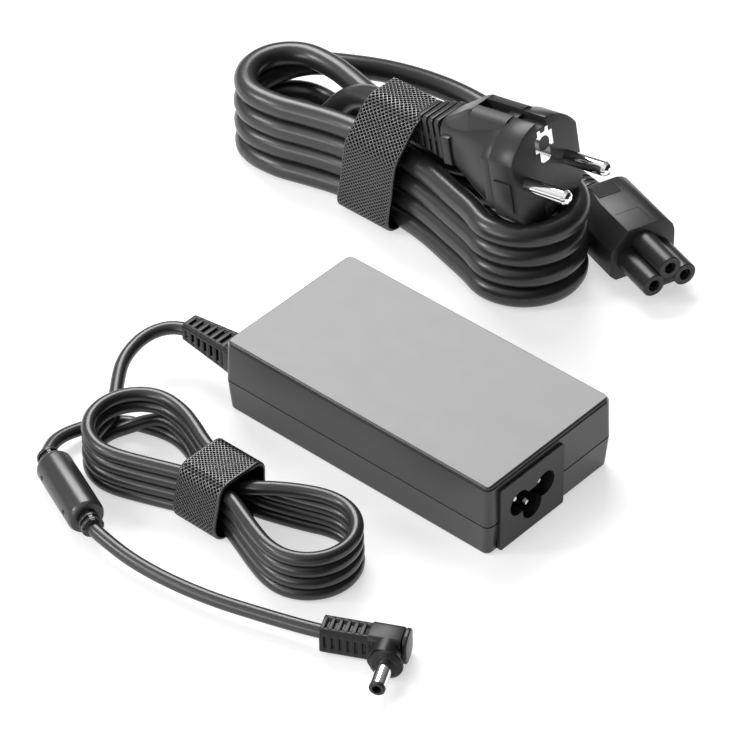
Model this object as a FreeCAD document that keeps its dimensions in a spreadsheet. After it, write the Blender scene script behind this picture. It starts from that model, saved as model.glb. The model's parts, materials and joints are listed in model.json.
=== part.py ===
import FreeCAD, Part
import math
import os
import Sketcher

# A laptop power adapter: a two-shell brick with its circuit inside, a moulded low-voltage lead
# with a ferrite and a right-angle barrel plug, and a separate mains lead with a two-pin plug
# and a three-way connector.  Both leads are wound into hanks held by hook-and-loop straps.
# Frame: origin on the table under the middle of the brick, +X towards the mains inlet,
# +Y towards the mains lead, +Z up, millimetres.

DIMENSIONS = {
    # brick
    "case_length": 104.2, "case_width": 56.6, "case_height": 26.2, "case_centre": -0.2,
    "split_height": 11.2, "wall": 2.0, "corner_radius": 2.2, "top_edge_radius": 0.8,
    "bottom_edge_radius": 1.3, "lower_draft": 0.8, "upper_draft": 0.3, "rim_height": 1.3,
    "rim_step": 0.35, "seam_height": 0.5, "seam_depth": 0.3, "lip_height": 1.4,
    "lip_thickness": 0.9, "lip_gap": 0.1, "panel_inset": 1.2, "panel_thickness": 0.6,
    # mains inlet
    "inlet_face": 52.7, "inlet_middle": -9.4, "inlet_width": 28.8, "inlet_bottom": 0.6,
    "inlet_top": 23.4, "inlet_depth": 17.0, "lobe_radius": 4.2, "lobe_spacing": 11.4,
    "lobe_height": 13.7, "lobe_drop": 4.8, "recess_depth": 13.0, "inlet_pin_radius": 1.2,
    "inlet_pin_spacing": 10.8, "inlet_pin_length": 10.9, "inlet_pin_tail": 5.0,
    # circuit
    "board_bottom": 6.0, "board_thickness": 1.6, "board_left": -45.0, "board_right": 33.5,
    "board_width": 49.0, "lead_radius": 0.35,
    # low-voltage lead
    "dc_cord": 4.3, "dc_exit_side": -19.0, "dc_exit_height": 13.1, "boot_tip": -76.7,
    "dc_layer": 4.5, "dc_layers": 4, "ferrite_radius": 5.7, "ferrite_length": 27.0,
    "barrel_radius": 2.4, "barrel_length": 9.6, "barrel_root": 2.0,
    # mains lead
    "mains_cord": 7.8, "mains_layer": 8.0, "mains_layers": 4, "plug_pin_radius": 2.4,
    "plug_pin_length": 17.0, "pin_root": 1.9, "plug_pin_spacing": 19.0, "plug_face_radius": 18.2,
    "plug_face_half_width": 16.2, "strap_thickness": 1.6,
}

DOC = FreeCAD.newDocument("power_adapter")
SHEET = DOC.addObject("Spreadsheet::Sheet", "dims")
for row, (alias, number) in enumerate(DIMENSIONS.items(), start=1):
    SHEET.set("A%d" % row, alias)
    SHEET.set("B%d" % row, str(number))
    SHEET.setAlias("B%d" % row, alias)
DOC.recompute()


class Size:
    """A length that knows both its value and the sheet expression it comes from."""

    def __init__(self, value, text):
        self.value = value
        self.text = text

    def __add__(self, other):
        other = size(other)
        return Size(self.value + other.value, "(%s + %s)" % (self.text, other.text))

    def __sub__(self, other):
        other = size(other)
        return Size(self.value - other.value, "(%s - %s)" % (self.text, other.text))

    def __mul__(self, factor):
        return Size(self.value * factor, "(%s * %r)" % (self.text, factor))

    def __truediv__(self, factor):
        return Size(self.value / factor, "(%s / %r)" % (self.text, factor))

    def __neg__(self):
        return Size(-self.value, "(0 - %s)" % self.text)

    __radd__ = __add__
    __rmul__ = __mul__

    def __rsub__(self, other):
        return size(other) - self


def size(thing):
    return thing if isinstance(thing, Size) else Size(float(thing), "%r" % float(thing))


def dim(alias):
    return Size(float(SHEET.get(alias)), "dims.%s" % alias)


PIECES = []


def piece(label, thing, placement=None):
    """Name a finished sub-part, so that it is checked and written."""
    thing.Label = label
    if placement is not None:
        thing.Placement = placement
    PIECES.append(thing)
    return thing


def bind(thing, **sizes):
    for name, length in sizes.items():
        thing.setExpression(name, size(length).text)
    return thing


def move(thing, corner, turn=None):
    """Put a primitive at a corner or centre given as sizes."""
    if turn is not None:
        thing.Placement = FreeCAD.Placement(FreeCAD.Vector(), turn)
    for axis, length in zip("xyz", corner):
        thing.setExpression("Placement.Base.%s" % axis, size(length).text)
    return thing


ALONG_X = FreeCAD.Rotation(FreeCAD.Vector(0, 1, 0), 90)
ALONG_Y = FreeCAD.Rotation(FreeCAD.Vector(1, 0, 0), -90)
ALONG_Z = FreeCAD.Rotation()


def block(x_from, x_to, y_from, y_to, z_from, z_to):
    """A box between two corners."""
    thing = DOC.addObject("Part::Box", "block")
    bind(thing, Length=size(x_to) - x_from, Width=size(y_to) - y_from, Height=size(z_to) - z_from)
    return move(thing, (x_from, y_from, z_from))


def rod(radius, length, base, direction=ALONG_Z):
    thing = DOC.addObject("Part::Cylinder", "rod")
    bind(thing, Radius=radius, Height=length)
    return move(thing, base, direction)


def cone(radius_from, radius_to, length, base, direction=ALONG_Z):
    thing = DOC.addObject("Part::Cone", "cone")
    bind(thing, Radius1=radius_from, Radius2=radius_to, Height=length)
    return move(thing, base, direction)


def cut(base, *tools):
    for tool in tools:
        result = DOC.addObject("Part::Cut", "cut")
        result.Base = base
        result.Tool = tool
        base = result
    return base


def fuse(*things):
    result = DOC.addObject("Part::MultiFuse", "joined")
    result.Shapes = list(things)
    result.Refine = True
    return result


def overlap(*things):
    result = DOC.addObject("Part::MultiCommon", "overlap")
    result.Shapes = list(things)
    return result


def rounded(base, radius, wanted):
    """Fillet the straight edges that wanted(start, end) picks."""
    DOC.recompute()
    picked = []
    for number, edge in enumerate(base.Shape.Edges, start=1):
        if len(edge.Vertexes) == 2 and wanted(edge.Vertexes[0].Point, edge.Vertexes[1].Point):
            picked.append((number, size(radius).value, size(radius).value))
    result = DOC.addObject("Part::Fillet", "rounded")
    result.Base = base
    result.Edges = picked
    return result


def along(axis):
    """Pick edges that run along one axis (0, 1 or 2)."""
    return lambda a, b: all(abs(a[i] - b[i]) < 1e-6 for i in range(3) if i != axis)


def level(height):
    """Pick edges that lie wholly at one height."""
    return lambda a, b: abs(a.z - height) < 1e-6 and abs(b.z - height) < 1e-6


# Sketched bodies --------------------------------------------------------------------------

def plane_of(body, role):
    return next(f for f in body.Origin.OriginFeatures if f.Role == role)


def pin_point(sketch, line, u, v):
    """Hold the start of a sketch line at (u, v), each coordinate bound to the sheet."""
    for kind, axis, length in (("DistanceX", -2, size(u)), ("DistanceY", -1, size(v))):
        if abs(length.value) < 1e-9:
            sketch.addConstraint(Sketcher.Constraint("PointOnObject", line, 1, axis))
            continue
        if length.value > 0:
            number = sketch.addConstraint(Sketcher.Constraint(kind, -1, 1, line, 1, length.value))
            text = length.text
        else:
            number = sketch.addConstraint(Sketcher.Constraint(kind, line, 1, -1, 1, -length.value))
            text = (-length).text
        sketch.setExpression("Constraints[%d]" % number, text)


def polygon_sketch(body, role, corners):
    """A closed outline of straight lines with every corner bound to the sheet."""
    sketch = body.newObject("Sketcher::SketchObject", "outline")
    sketch.AttachmentSupport = (plane_of(body, role), [""])
    sketch.MapMode = "FlatFace"
    points = [FreeCAD.Vector(size(u).value, size(v).value, 0) for u, v in corners]
    count = len(points)
    for i in range(count):
        sketch.addGeometry(Part.LineSegment(points[i], points[(i + 1) % count]), False)
    for i in range(count):
        sketch.addConstraint(Sketcher.Constraint("Coincident", i, 2, (i + 1) % count, 1))
    for i, (u, v) in enumerate(corners):
        pin_point(sketch, i, u, v)
    return sketch


def turned(label, corners, placement=None):
    """A piece turned about its own Z axis from (radius, height) corners."""
    body = DOC.addObject("PartDesign::Body", label)
    sketch = polygon_sketch(body, "XZ_Plane", corners)
    DOC.recompute()
    turn = body.newObject("PartDesign::Revolution", "turn")
    turn.Profile = sketch
    turn.ReferenceAxis = (sketch, ["V_Axis"])
    turn.Angle = 360
    return piece(label, body, placement)


# Cords --------------------------------------------------------------------------------------

def cord_path(points):
    """Straight runs joined by tangent arcs, each as large as its two runs allow."""
    points = [FreeCAD.Vector(*p) for p in points]
    edges = []
    radii = []
    start = points[0]
    for before, corner, after in zip(points, points[1:], points[2:]):
        run_in = before - corner
        run_out = after - corner
        shorter = min(run_in.Length, run_out.Length)
        turn = math.pi - run_in.getAngle(run_out)
        reach = 0.45 * shorter
        radii.append(reach / math.tan(turn / 2))
        run_in.normalize()
        run_out.normalize()
        enter = corner + run_in * reach
        leave = corner + run_out * reach
        inward = run_in + run_out
        inward.normalize()
        to_centre = math.hypot(reach, radii[-1])
        middle = corner + inward * (to_centre - radii[-1])
        edges.append(Part.LineSegment(start, enter).toShape())
        edges.append(Part.Arc(enter, middle, leave).toShape())
        start = leave
    edges.append(Part.LineSegment(start, points[-1]).toShape())
    return Part.Wire(edges), radii


def cord(label, points, diameter):
    """A round cord along a route of hand-picked points."""
    path, radii = cord_path(points)
    radius = size(diameter).value / 2
    first = path.Edges[0]
    ring = Part.Circle(first.valueAt(first.FirstParameter), first.tangentAt(first.FirstParameter), radius)
    shape = path.makePipeShell([Part.Wire([ring.toShape()])], True, False)
    if shape.Volume < 0:
        shape.reverse()
    expected = math.pi * radius ** 2 * path.Length
    print("%-26s length %6.1f  radii %s  volume ratio %.4f" % (
        label, path.Length, " ".join("%.0f" % r for r in radii), shape.Volume / expected))
    thing = DOC.addObject("Part::Feature", label)
    thing.Shape = shape
    return piece(label, thing)


def hank_outline(shape, offset):
    """The closed loop of a hank pinched at its strap, moved outwards by an offset.

    Two round eyes are joined to the waist by straight runs and shallow hollows."""
    left, right, waist, axis = shape["left"], shape["right"], shape["waist"], shape["axis"]
    gap, hollow = shape["half_gap"], shape["hollow_radius"]

    def quarter(eye_x, eye_radius, side):
        # from the outermost point of the eye to the waist, on one side of the axis
        way = 1 if waist > eye_x else -1
        eye = FreeCAD.Vector(eye_x, axis, 0)
        dip = FreeCAD.Vector(waist, axis + side * (gap + hollow), 0)
        between = dip - eye
        tilt = math.asin((eye_radius + hollow) / between.Length)
        bearing = math.atan2(abs(between.y), abs(between.x))
        slope = bearing - tilt
        normal = FreeCAD.Vector(-way * math.sin(slope), side * math.cos(slope), 0)
        leave = eye + normal * (eye_radius + offset)
        enter = dip - normal * (hollow - offset)
        return leave, enter, FreeCAD.Vector(waist, axis + side * (gap + offset), 0)

    edges = []
    for eye_x, radius, outward in ((left[0], left[1], -1), (right[0], right[1], 1)):
        upper = quarter(eye_x, radius, 1)
        lower = quarter(eye_x, radius, -1)
        tip = FreeCAD.Vector(eye_x + outward * (radius + offset), axis, 0)
        edges.append(Part.Arc(upper[0], tip, lower[0]).toShape())
        for leave, enter, dip in (upper, lower):
            edges.append(Part.LineSegment(leave, enter).toShape())
            centre = FreeCAD.Vector(waist, dip.y + math.copysign(hollow - offset, dip.y - axis), 0)
            chord = (enter - centre) + (dip - centre)
            chord.normalize()
            edges.append(Part.Arc(enter, centre + chord * (hollow - offset), dip).toShape())
    return Part.Wire(Part.__sortEdges__(edges))


def hank(label, shape, diameter, height, edge_radius):
    """The outer shape of a wound cord: a band round two open eyes."""
    outer = Part.Face(hank_outline(shape, diameter / 2))
    inner = Part.Face(hank_outline(shape, -diameter / 2))
    band = outer.cut(inner).extrude(FreeCAD.Vector(0, 0, height))
    rims = [e for e in band.Edges if abs(e.BoundBox.ZLength) < 1e-6]
    thing = DOC.addObject("Part::Feature", label)
    thing.Shape = band.makeFillet(edge_radius, rims)
    print("%-26s one turn %.1f" % (label, hank_outline(shape, 0).Length))
    return piece(label, thing)


def strap(label, outline, thickness, x_from, x_to, lean=0.0):
    """A band round a hank, from the corners and corner radii of its inside outline in Y and Z.

    A lean, in degrees, moves the band along X as it rises."""
    drift = math.tan(math.radians(lean))
    corners = [FreeCAD.Vector(x_from + drift * z, y, z) for y, z, _ in outline]
    radii = [r for _, _, r in outline]
    edges = []
    ends = []
    for i, corner in enumerate(corners):
        run_in = (corners[i - 1] - corner).normalize()
        run_out = (corners[(i + 1) % len(corners)] - corner).normalize()
        half = run_in.getAngle(run_out) / 2
        reach = radii[i] / math.tan(half)
        inward = (run_in + run_out).normalize()
        middle = corner + inward * (radii[i] / math.sin(half) - radii[i])
        ends.append((corner + run_in * reach, middle, corner + run_out * reach))
    for i, (enter, middle, leave) in enumerate(ends):
        edges.append(Part.Arc(enter, middle, leave).toShape())
        edges.append(Part.LineSegment(leave, ends[(i + 1) % len(ends)][0]).toShape())
    inside = Part.Wire(edges)
    outside = inside.makeOffset2D(thickness)
    ring = Part.Face(outside).cut(Part.Face(inside))
    thing = DOC.addObject("Part::Feature", label)
    thing.Shape = ring.extrude(FreeCAD.Vector(x_to - x_from, 0, 0))
    return piece(label, thing)


# The brick ------------------------------------------------------------------------------------

case_left = dim("case_centre") - dim("case_length") / 2
case_right = dim("case_centre") + dim("case_length") / 2
case_back = dim("case_width") / 2
case_front = -case_back
wall = dim("wall")


def tray(z_from, z_to, inset, radius):
    """A block the size of the case, moved in by an inset, with rounded upright edges."""
    shape = block(case_left + inset, case_right - inset, case_front + inset, case_back - inset, z_from, z_to)
    return rounded(shape, radius, along(2))


def drafted(z_from, z_to, inset_from, inset_to, radius):
    """A block like a tray whose sides lean in by a different amount at its foot and its top."""
    shape = DOC.addObject("Part::Wedge", "drafted")
    half_width = dim("case_width") / 2
    bind(shape, Ymin=0, Ymax=size(z_to) - z_from,
         Xmin=case_left + inset_from, Xmax=case_right - inset_from,
         Zmin=-half_width + inset_from, Zmax=half_width - inset_from,
         X2min=case_left + inset_to, X2max=case_right - inset_to,
         Z2min=-half_width + inset_to, Z2max=half_width - inset_to)
    move(shape, (0, 0, z_from), FreeCAD.Rotation(FreeCAD.Vector(1, 0, 0), 90))
    return rounded(shape, radius, lambda a, b: abs(a.z - b.z) > 1)


def inlet_opening(margin):
    """The space that the inlet takes out of the end wall."""
    return block(case_right - 5, case_right + 5,
                 dim("inlet_middle") - dim("inlet_width") / 2 + margin,
                 dim("inlet_middle") + dim("inlet_width") / 2 - margin,
                 dim("inlet_bottom") + margin, dim("inlet_top") - margin)


def boot_opening():
    """The round hole in the other end wall for the neck of the cable boot."""
    return rod(3.9, wall + 2, (case_left - 1, dim("dc_exit_side"), dim("dc_exit_height")), ALONG_X)


def lower_shell():
    outer = drafted(0, dim("split_height"), dim("lower_draft"), 0, dim("corner_radius"))
    outer = rounded(outer, dim("bottom_edge_radius"), level(0))
    hollow = drafted(wall, dim("split_height") + 1, wall + dim("lower_draft") - 0.1, wall, 1.2)
    shell = cut(outer, hollow)
    lip_out = tray(dim("split_height") - 2, dim("split_height") + dim("lip_height"),
                   wall - dim("lip_thickness"), 2.0)
    lip_in = tray(dim("split_height") - 3, dim("split_height") + dim("lip_height") + 1, wall, 1.2)
    shell = fuse(shell, cut(lip_out, lip_in))
    posts = []
    for x in (dim("board_left") + 5, dim("board_right") - 5):
        for y in (-20.5, 20.5):
            posts.append(rod(2.4, dim("board_bottom") - 1, (x, y, 1)))
            posts.append(rod(1.2, dim("board_thickness") + 1.4, (x, y, dim("board_bottom") - 0.5)))
    shell = fuse(shell, *posts)
    shell = cut(shell, inlet_opening(0), boot_opening())
    return piece("lower_shell", shell)


def upper_shell():
    shoulder = dim("case_height") - dim("rim_height")
    side = drafted(dim("split_height"), shoulder, 0, dim("upper_draft"), dim("corner_radius"))
    rim_inset = dim("upper_draft") + dim("rim_step")
    rim = tray(dim("split_height") + 2, dim("case_height"), rim_inset, dim("corner_radius"))
    rim = rounded(rim, dim("top_edge_radius"), level(DIMENSIONS["case_height"]))
    seam_top = dim("split_height") + dim("seam_height")
    around_case = tray(dim("split_height") - 1, seam_top, -1, dim("corner_radius"))
    seam_floor = tray(dim("split_height") - 2, dim("split_height") + 1, dim("seam_depth"), dim("corner_radius"))
    seam = cut(around_case, seam_floor)
    outer = cut(fuse(side, rim), seam)
    hollow = tray(dim("split_height") - 1, dim("case_height") - wall, wall, 1.2)
    rebate = tray(dim("split_height") - 1, dim("split_height") + dim("lip_height") + dim("lip_gap"),
                  wall - dim("lip_thickness") - dim("lip_gap"), 2.1)
    recess = tray(dim("case_height") - dim("panel_thickness"), dim("case_height") + 1,
                  dim("panel_inset"), 1.0)
    shell = cut(outer, hollow, rebate, recess, inlet_opening(0), boot_opening())
    return piece("upper_shell", shell)


def top_panel():
    gap = 0.05
    panel = tray(dim("case_height") - dim("panel_thickness"), dim("case_height"),
                 dim("panel_inset") + gap, 0.95)
    return piece("top_panel", panel)


def inlet_lobe(side, drop):
    """One of the three round lobes of the inlet's recess."""
    return rod(dim("lobe_radius"), dim("recess_depth") + 1,
               (dim("inlet_face") - dim("recess_depth"), dim("inlet_middle") + dim("lobe_spacing") / 2 * side,
                dim("lobe_height") - drop), ALONG_X)


def inlet_housing():
    middle = dim("inlet_middle")
    half = dim("inlet_width") / 2
    gap = 0.05
    face_plate = block(case_right - 0.4, dim("inlet_face"), middle - half + gap, middle + half - gap,
                       dim("inlet_bottom") + gap, dim("inlet_top") - gap)
    face_plate = rounded(face_plate, 0.8, along(0))
    inner = block(dim("inlet_face") - dim("inlet_depth"), case_right - 0.2,
                  middle - 12.4, middle + 12.4, 3.1, 20.5)
    inner = rounded(inner, 1.0, along(0))
    body = fuse(face_plate, inner)
    body = cut(body, inlet_lobe(-1, 0), inlet_lobe(1, 0), inlet_lobe(0, dim("lobe_drop")))
    back, front = dim("inlet_face") - dim("recess_depth"), dim("inlet_face") + 1
    half_bridge = dim("lobe_spacing") / 2
    bridge = block(back, front, middle - half_bridge, middle + half_bridge,
                   dim("lobe_height") - 1.8, dim("lobe_height") + 1.8)
    stem = block(back, front, middle - 3.2, middle + 3.2,
                 dim("lobe_height") - dim("lobe_drop"), dim("lobe_height"))
    body = cut(body, bridge, stem)
    for side, drop in ((-1, 0), (1, 0), (0, dim("lobe_drop"))):
        body = cut(body, rod(dim("inlet_pin_radius") + 0.01, 8,
                             (dim("inlet_face") - dim("inlet_depth") - 1,
                              middle + dim("inlet_pin_spacing") / 2 * side,
                              dim("lobe_height") - drop), ALONG_X))
    return piece("inlet_housing", body)


def inlet_pin(label, side, drop):
    """A round contact pin with a flat solder tail behind the housing."""
    back = dim("inlet_face") - dim("inlet_depth") - dim("inlet_pin_tail")
    y = dim("inlet_middle") + dim("inlet_pin_spacing") / 2 * side
    z = dim("lobe_height") - drop
    length = dim("inlet_pin_length") + 4 - 0.8
    shaft = rod(dim("inlet_pin_radius"), length, (back + dim("inlet_pin_tail"), y, z), ALONG_X)
    nose = cone(dim("inlet_pin_radius"), 0.7, 0.8, (back + dim("inlet_pin_tail") + length, y, z), ALONG_X)
    tail = block(back, back + dim("inlet_pin_tail") + 0.5, y - 0.8, y + 0.8, z - 0.4, z + 0.4)
    return piece(label, fuse(shaft, nose, tail))


# The circuit ------------------------------------------------------------------------------------

board_top = dim("board_bottom") + dim("board_thickness")


def circuit_board():
    board = block(dim("board_left"), dim("board_right"), -dim("board_width") / 2, dim("board_width") / 2,
                  dim("board_bottom"), board_top)
    for x in (dim("board_left") + 5, dim("board_right") - 5):
        for y in (-20.5, 20.5):
            board = cut(board, rod(1.3, 4, (x, y, dim("board_bottom") - 1)))
    return piece("circuit_board", board)


def standing_can(label, radius, height, x, y):
    """A round capacitor standing on two leads, with a rolled groove near its foot."""
    foot = board_top + 0.2
    can = rod(radius, height, (x, y, foot))
    groove = cut(rod(size(radius) + 1, 0.8, (x, y, foot + 1.6)),
                 rod(size(radius) - 0.4, 2, (x, y, foot + 1)))
    leads = [rod(dim("lead_radius"), dim("board_thickness") + 2,
                 (x + way * size(radius).value * 0.5, y, dim("board_bottom") - 1.2)) for way in (-1, 1)]
    return piece(label, fuse(cut(can, groove), *leads))


def lying_can(label, radius, length, x, y_from):
    """The large reservoir capacitor, lying across the board."""
    can = rod(radius, length, (x, y_from, board_top + radius + 0.1), ALONG_Y)
    groove = cut(rod(size(radius) + 1, 1.0, (x, size(y_from) + 2.5, board_top + radius + 0.1), ALONG_Y),
                 rod(size(radius) - 0.5, 2.0, (x, size(y_from) + 2.0, board_top + radius + 0.1), ALONG_Y))
    return piece(label, cut(can, groove))


def box_part(label, x, y, length, width, height, lead_count=2, edge=0.5):
    """A moulded part standing on a row of leads."""
    foot = board_top + 0.1
    case = block(size(x) - length / 2, size(x) + length / 2, size(y) - width / 2, size(y) + width / 2,
                 foot, foot + height)
    case = rounded(case, edge, along(2))
    leads = []
    for i in range(lead_count):
        offset = 0 if lead_count == 1 else (i / (lead_count - 1) - 0.5) * length * 0.75
        leads.append(rod(dim("lead_radius"), dim("board_thickness") + 2.2,
                         (size(x) + offset, y, dim("board_bottom") - 1.2)))
    return piece(label, fuse(case, *leads))


def choke():
    """A toroid choke lying flat on its four leads, its winding open on one side."""
    x, y, foot = 21.5, 16.5, board_top + 0.2
    ring = cut(rod(6.0, 5.0, (x, y, foot + 1.2)), rod(3.2, 7.0, (x, y, foot)))
    piece("choke_core", ring)
    outer = cut(rod(6.8, 7.2, (x, y, foot + 0.1)), rod(2.4, 9.0, (x, y, foot - 1)))
    space = cut(rod(6.1, 5.2, (x, y, foot + 1.1)), rod(3.1, 7.0, (x, y, foot)))
    gap = block(x - 1.8, x + 1.8, y, y + 8, foot - 1, foot + 9)
    lead_foot = dim("board_bottom") - 1.2
    leads = [rod(dim("lead_radius"), dim("board_thickness") + 2.2, (x + step_x, y + step_y, lead_foot))
             for step_x in (-4.5, 4.5) for step_y in (-2.5, 2.5)]
    piece("choke_winding", fuse(cut(outer, space, gap), *leads))


def power_device(label, x, y, face):
    """A three-lead power device bolted flat to a heatsink on the side given by face."""
    foot = board_top + 3.6
    body = block(x - 5, x + 5, min(y, y + face * 4.3), max(y, y + face * 4.3), foot, foot + 9.0)
    tab = block(x - 5, x + 5, min(y, y + face * 1.2), max(y, y + face * 1.2), foot + 8.5, foot + 10.9)
    leads = [block(x + step - 0.4, x + step + 0.4, y + face * 2.4 - 0.3, y + face * 2.4 + 0.3,
                   dim("board_bottom") - 1.2, foot + 0.5) for step in (-2.54, 0, 2.54)]
    return piece(label, fuse(body, tab, *leads))


def heatsink(label, x_from, x_to, y, flange):
    """An upright plate with a flange folded over at its top."""
    plate = block(x_from, x_to, y, y + 1.6, board_top + 0.1, 23.4)
    top = block(x_from, x_to, min(y, y + flange), max(y + 1.6, y + flange), 22.2, 23.4)
    feet = [rod(0.8, dim("board_thickness") + 2.0, (x, y + 0.8, dim("board_bottom") - 1.2))
            for x in (x_from + 3, x_to - 3)]
    return piece(label, fuse(plate, top, *feet))


def transformer():
    """A ferrite core of two halves round a wound bobbin."""
    x, y, foot = -12.0, 2.0, board_top + 0.3
    length, width, height = 23.0, 10.0, 15.2
    for label, way in (("transformer_core_front", -1), ("transformer_core_back", 1)):
        half = block(x - length / 2, x + length / 2, min(y, y + way * 10.0), max(y, y + way * 10.0),
                     foot + 3, foot + 3 + width)
        window = cut(block(x - 8.0, x + 8.0, y - 6.5, y + 6.5, foot + 2, foot + 14),
                     block(x - 3.0, x + 3.0, y - 7.0, y + 7.0, foot + 1, foot + 15))
        piece(label, cut(half, window))
    sleeve = cut(block(x - 4.0, x + 4.0, y - 6.3, y + 6.3, foot + 2.0, foot + 14.0),
                 block(x - 3.1, x + 3.1, y - 7.0, y + 7.0, foot + 2.9, foot + 13.1))
    cheeks = []
    for cheek in (-6.3, 5.5):
        plate = block(x - 7.6, x + 7.6, y + cheek, y + cheek + 0.8, foot + 0.2, foot + 15.0)
        hole = block(x - 3.1, x + 3.1, y + cheek - 1, y + cheek + 2, foot + 2.9, foot + 13.1)
        cheeks.append(cut(plate, hole))
    pins = [rod(0.4, dim("board_thickness") + 2.0, (x + step, y + side, dim("board_bottom") - 1.2))
            for side in (-5.9, 5.9) for step in (-6.0, -2.0, 2.0, 6.0)]
    piece("transformer_bobbin", fuse(sleeve, *cheeks, *pins))
    coil = rounded(block(x - 7.2, x + 7.2, y - 5.4, y + 5.4, foot + 0.6, foot + 14.8), 1.0, along(1))
    space = block(x - 4.1, x + 4.1, y - 7.0, y + 7.0, foot + 1.9, foot + 14.1)
    piece("transformer_winding", cut(coil, space))


def circuit():
    circuit_board()
    box_part("cartridge_fuse", 25.5, 3.0, 8.0, 4.0, 8.0)
    box_part("line_capacitor", 19.5, -16.0, 6.5, 13.0, 11.0)
    choke()
    box_part("bridge_rectifier", 7.0, -20.5, 14.0, 3.6, 10.5, lead_count=4)
    lying_can("reservoir_capacitor", 7.9, 27.0, 8.0, -16.0)
    heatsink("primary_heatsink", -26.0, 4.0, 20.6, -5.0)
    power_device("switching_transistor", -6.0, 20.5, -1)
    transformer()
    heatsink("secondary_heatsink", -30.0, -4.0, -21.8, 5.0)
    power_device("output_rectifier", -18.0, -20.1, 1)
    standing_can("output_capacitor_front", 4.0, 14.0, -31.0, -10.5)
    standing_can("output_capacitor_back", 4.0, 14.0, -31.0, -1.0)
    box_part("opto_coupler", -28.0, 17.0, 6.5, 4.6, 3.4, lead_count=4)
    foot = dim("board_bottom")
    chip = block(-2.5, 2.5, -3.5, 0.5, foot - 1.6, foot - 0.1)
    piece("control_chip", chip)
    sheet = rounded(block(-44.0, 32.0, -24.4, 24.4, 23.75, 24.05), 2.0, along(2))
    piece("insulating_sheet", sheet)


# The low-voltage lead ----------------------------------------------------------------------------

def cable_boot():
    """A tapering, slotted strain relief, held in the end wall by its neck and inner flange."""
    y, z = DIMENSIONS["dc_exit_side"], DIMENSIONS["dc_exit_height"]
    root, tip = case_left.value - 0.05, DIMENSIONS["boot_tip"]
    wedge = DOC.addObject("Part::Wedge", "boot_taper")
    wedge.Xmin, wedge.Xmax, wedge.Zmin, wedge.Zmax = -5.2, 5.2, -5.0, 5.0
    wedge.X2min, wedge.X2max, wedge.Z2min, wedge.Z2max = -3.5, 3.5, -3.4, 3.4
    wedge.Ymin = 0
    wedge.setExpression("Ymax", (case_left - 0.05 - dim("boot_tip")).text)
    wedge.Placement = FreeCAD.Placement(FreeCAD.Vector(root, y, z),
                                        FreeCAD.Rotation(FreeCAD.Vector(0, 0, 1), 90))
    taper = rounded(wedge, 1.5, lambda a, b: abs(a.x - b.x) > 10)
    slots = []
    for i in range(6):
        x = tip + 3.0 + 2.9 * i
        side = 3.4 + (x - tip) * 0.07
        for inner, outer in ((-side - 1, -side), (side, side + 1)):
            slots.append(block(x, x + 1.2, y + inner, y + outer, z - 2.4, z + 2.4))
            slots.append(block(x, x + 1.2, y - 2.4, y + 2.4, z + inner, z + outer))
    neck = rod(3.8, wall + 0.2, (case_left - 0.1, y, z), ALONG_X)
    flange = block(case_left + wall + 0.05, case_left + wall + 2.05, y - 5.2, y + 5.2, z - 5.0, z + 5.0)
    collar = rod(3.8, 0.6, (case_left + wall - 0.2, y, z), ALONG_X)
    body = cut(fuse(cut(taper, *slots), neck, collar, flange),
               rod(dim("dc_cord") / 2, 12.2, (tip - 0.2, y, z), ALONG_X))
    for side in (-1.1, 1.1):
        body = cut(body, rod(0.75, 30, (tip + 11.5, y + side, z), ALONG_X))
    return piece("cable_boot", body)


DC_HANK = {"left": (-53.9, 14.4), "right": (14.4, 14.1), "axis": -64.1, "waist": -20.0,
           "half_gap": 6.3, "hollow_radius": 30.0}
DC_LEAD_IN = ((-64.7, -19.0, 13.1), (-77.5, -19.0, 13.1), (-87.0, -28.5, 12.7), (-86.0, -41.5, 10.8),
              (-77.0, -51.5, 8.8), (-67.6, -60.2, 7.3))
DC_TO_FERRITE = ((-63.0, -52.6, 2.3), (-69.8, -55.8, 2.5), (-74.8, -65.5, 3.8), (-76.7, -76.0, 5.0),
                 (-73.1, -83.7, 5.7))
DC_TO_PLUG = ((-37.4, -98.9, 5.7), (-20.0, -100.2, 4.4), (3.0, -97.6, 4.4), (25.0, -91.5, 5.0),
              (40.4, -86.6, 5.4))

FERRITE_MIDDLE = FreeCAD.Vector(-56.0, -91.0, 5.7)
FERRITE_BEARING = -23.0
PLUG_ELBOW = FreeCAD.Vector(58.7, -77.4, 5.4)
PLUG_BEARING = 27.0


def standing(origin, bearing, lift=0.0):
    """A placement that turns local +X to a compass bearing about Z and tips it up by a lift."""
    turn = FreeCAD.Rotation(FreeCAD.Vector(0, 0, 1), bearing)
    return FreeCAD.Placement(origin, turn * FreeCAD.Rotation(FreeCAD.Vector(0, 1, 0), -lift))


def ferrite():
    """A moulded sleeve round a ferrite tube, with a short ribbed neck at each end."""
    frame = standing(FERRITE_MIDDLE, FERRITE_BEARING)
    upright = frame * FreeCAD.Placement(FreeCAD.Vector(), ALONG_X)
    half = dim("ferrite_length") / 2
    outer = dim("ferrite_radius")
    neck = half + 5.0
    bore = dim("dc_cord") / 2
    space = dim("ferrite_radius") - 1.0
    turned("ferrite_cover", (
        (bore, -neck), (3.5, -neck), (3.5, -half), (outer - 1.2, -half), (outer, -half + 1.2),
        (outer, half - 1.2), (outer - 1.2, half), (3.5, half), (3.5, neck), (bore, neck),
        (bore, half - 2.0), (space, half - 2.0), (space, -half + 2.0), (bore, -half + 2.0)), upright)
    turned("ferrite_core", (
        (bore + 0.3, -half + 2.1), (space - 0.05, -half + 2.1), (space - 0.05, half - 2.1),
        (bore + 0.3, half - 2.1)), upright)
    turned("dc_cord_in_ferrite", (
        (0, -neck), (bore - 0.02, -neck), (bore - 0.02, neck), (0, neck)), upright)


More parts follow.
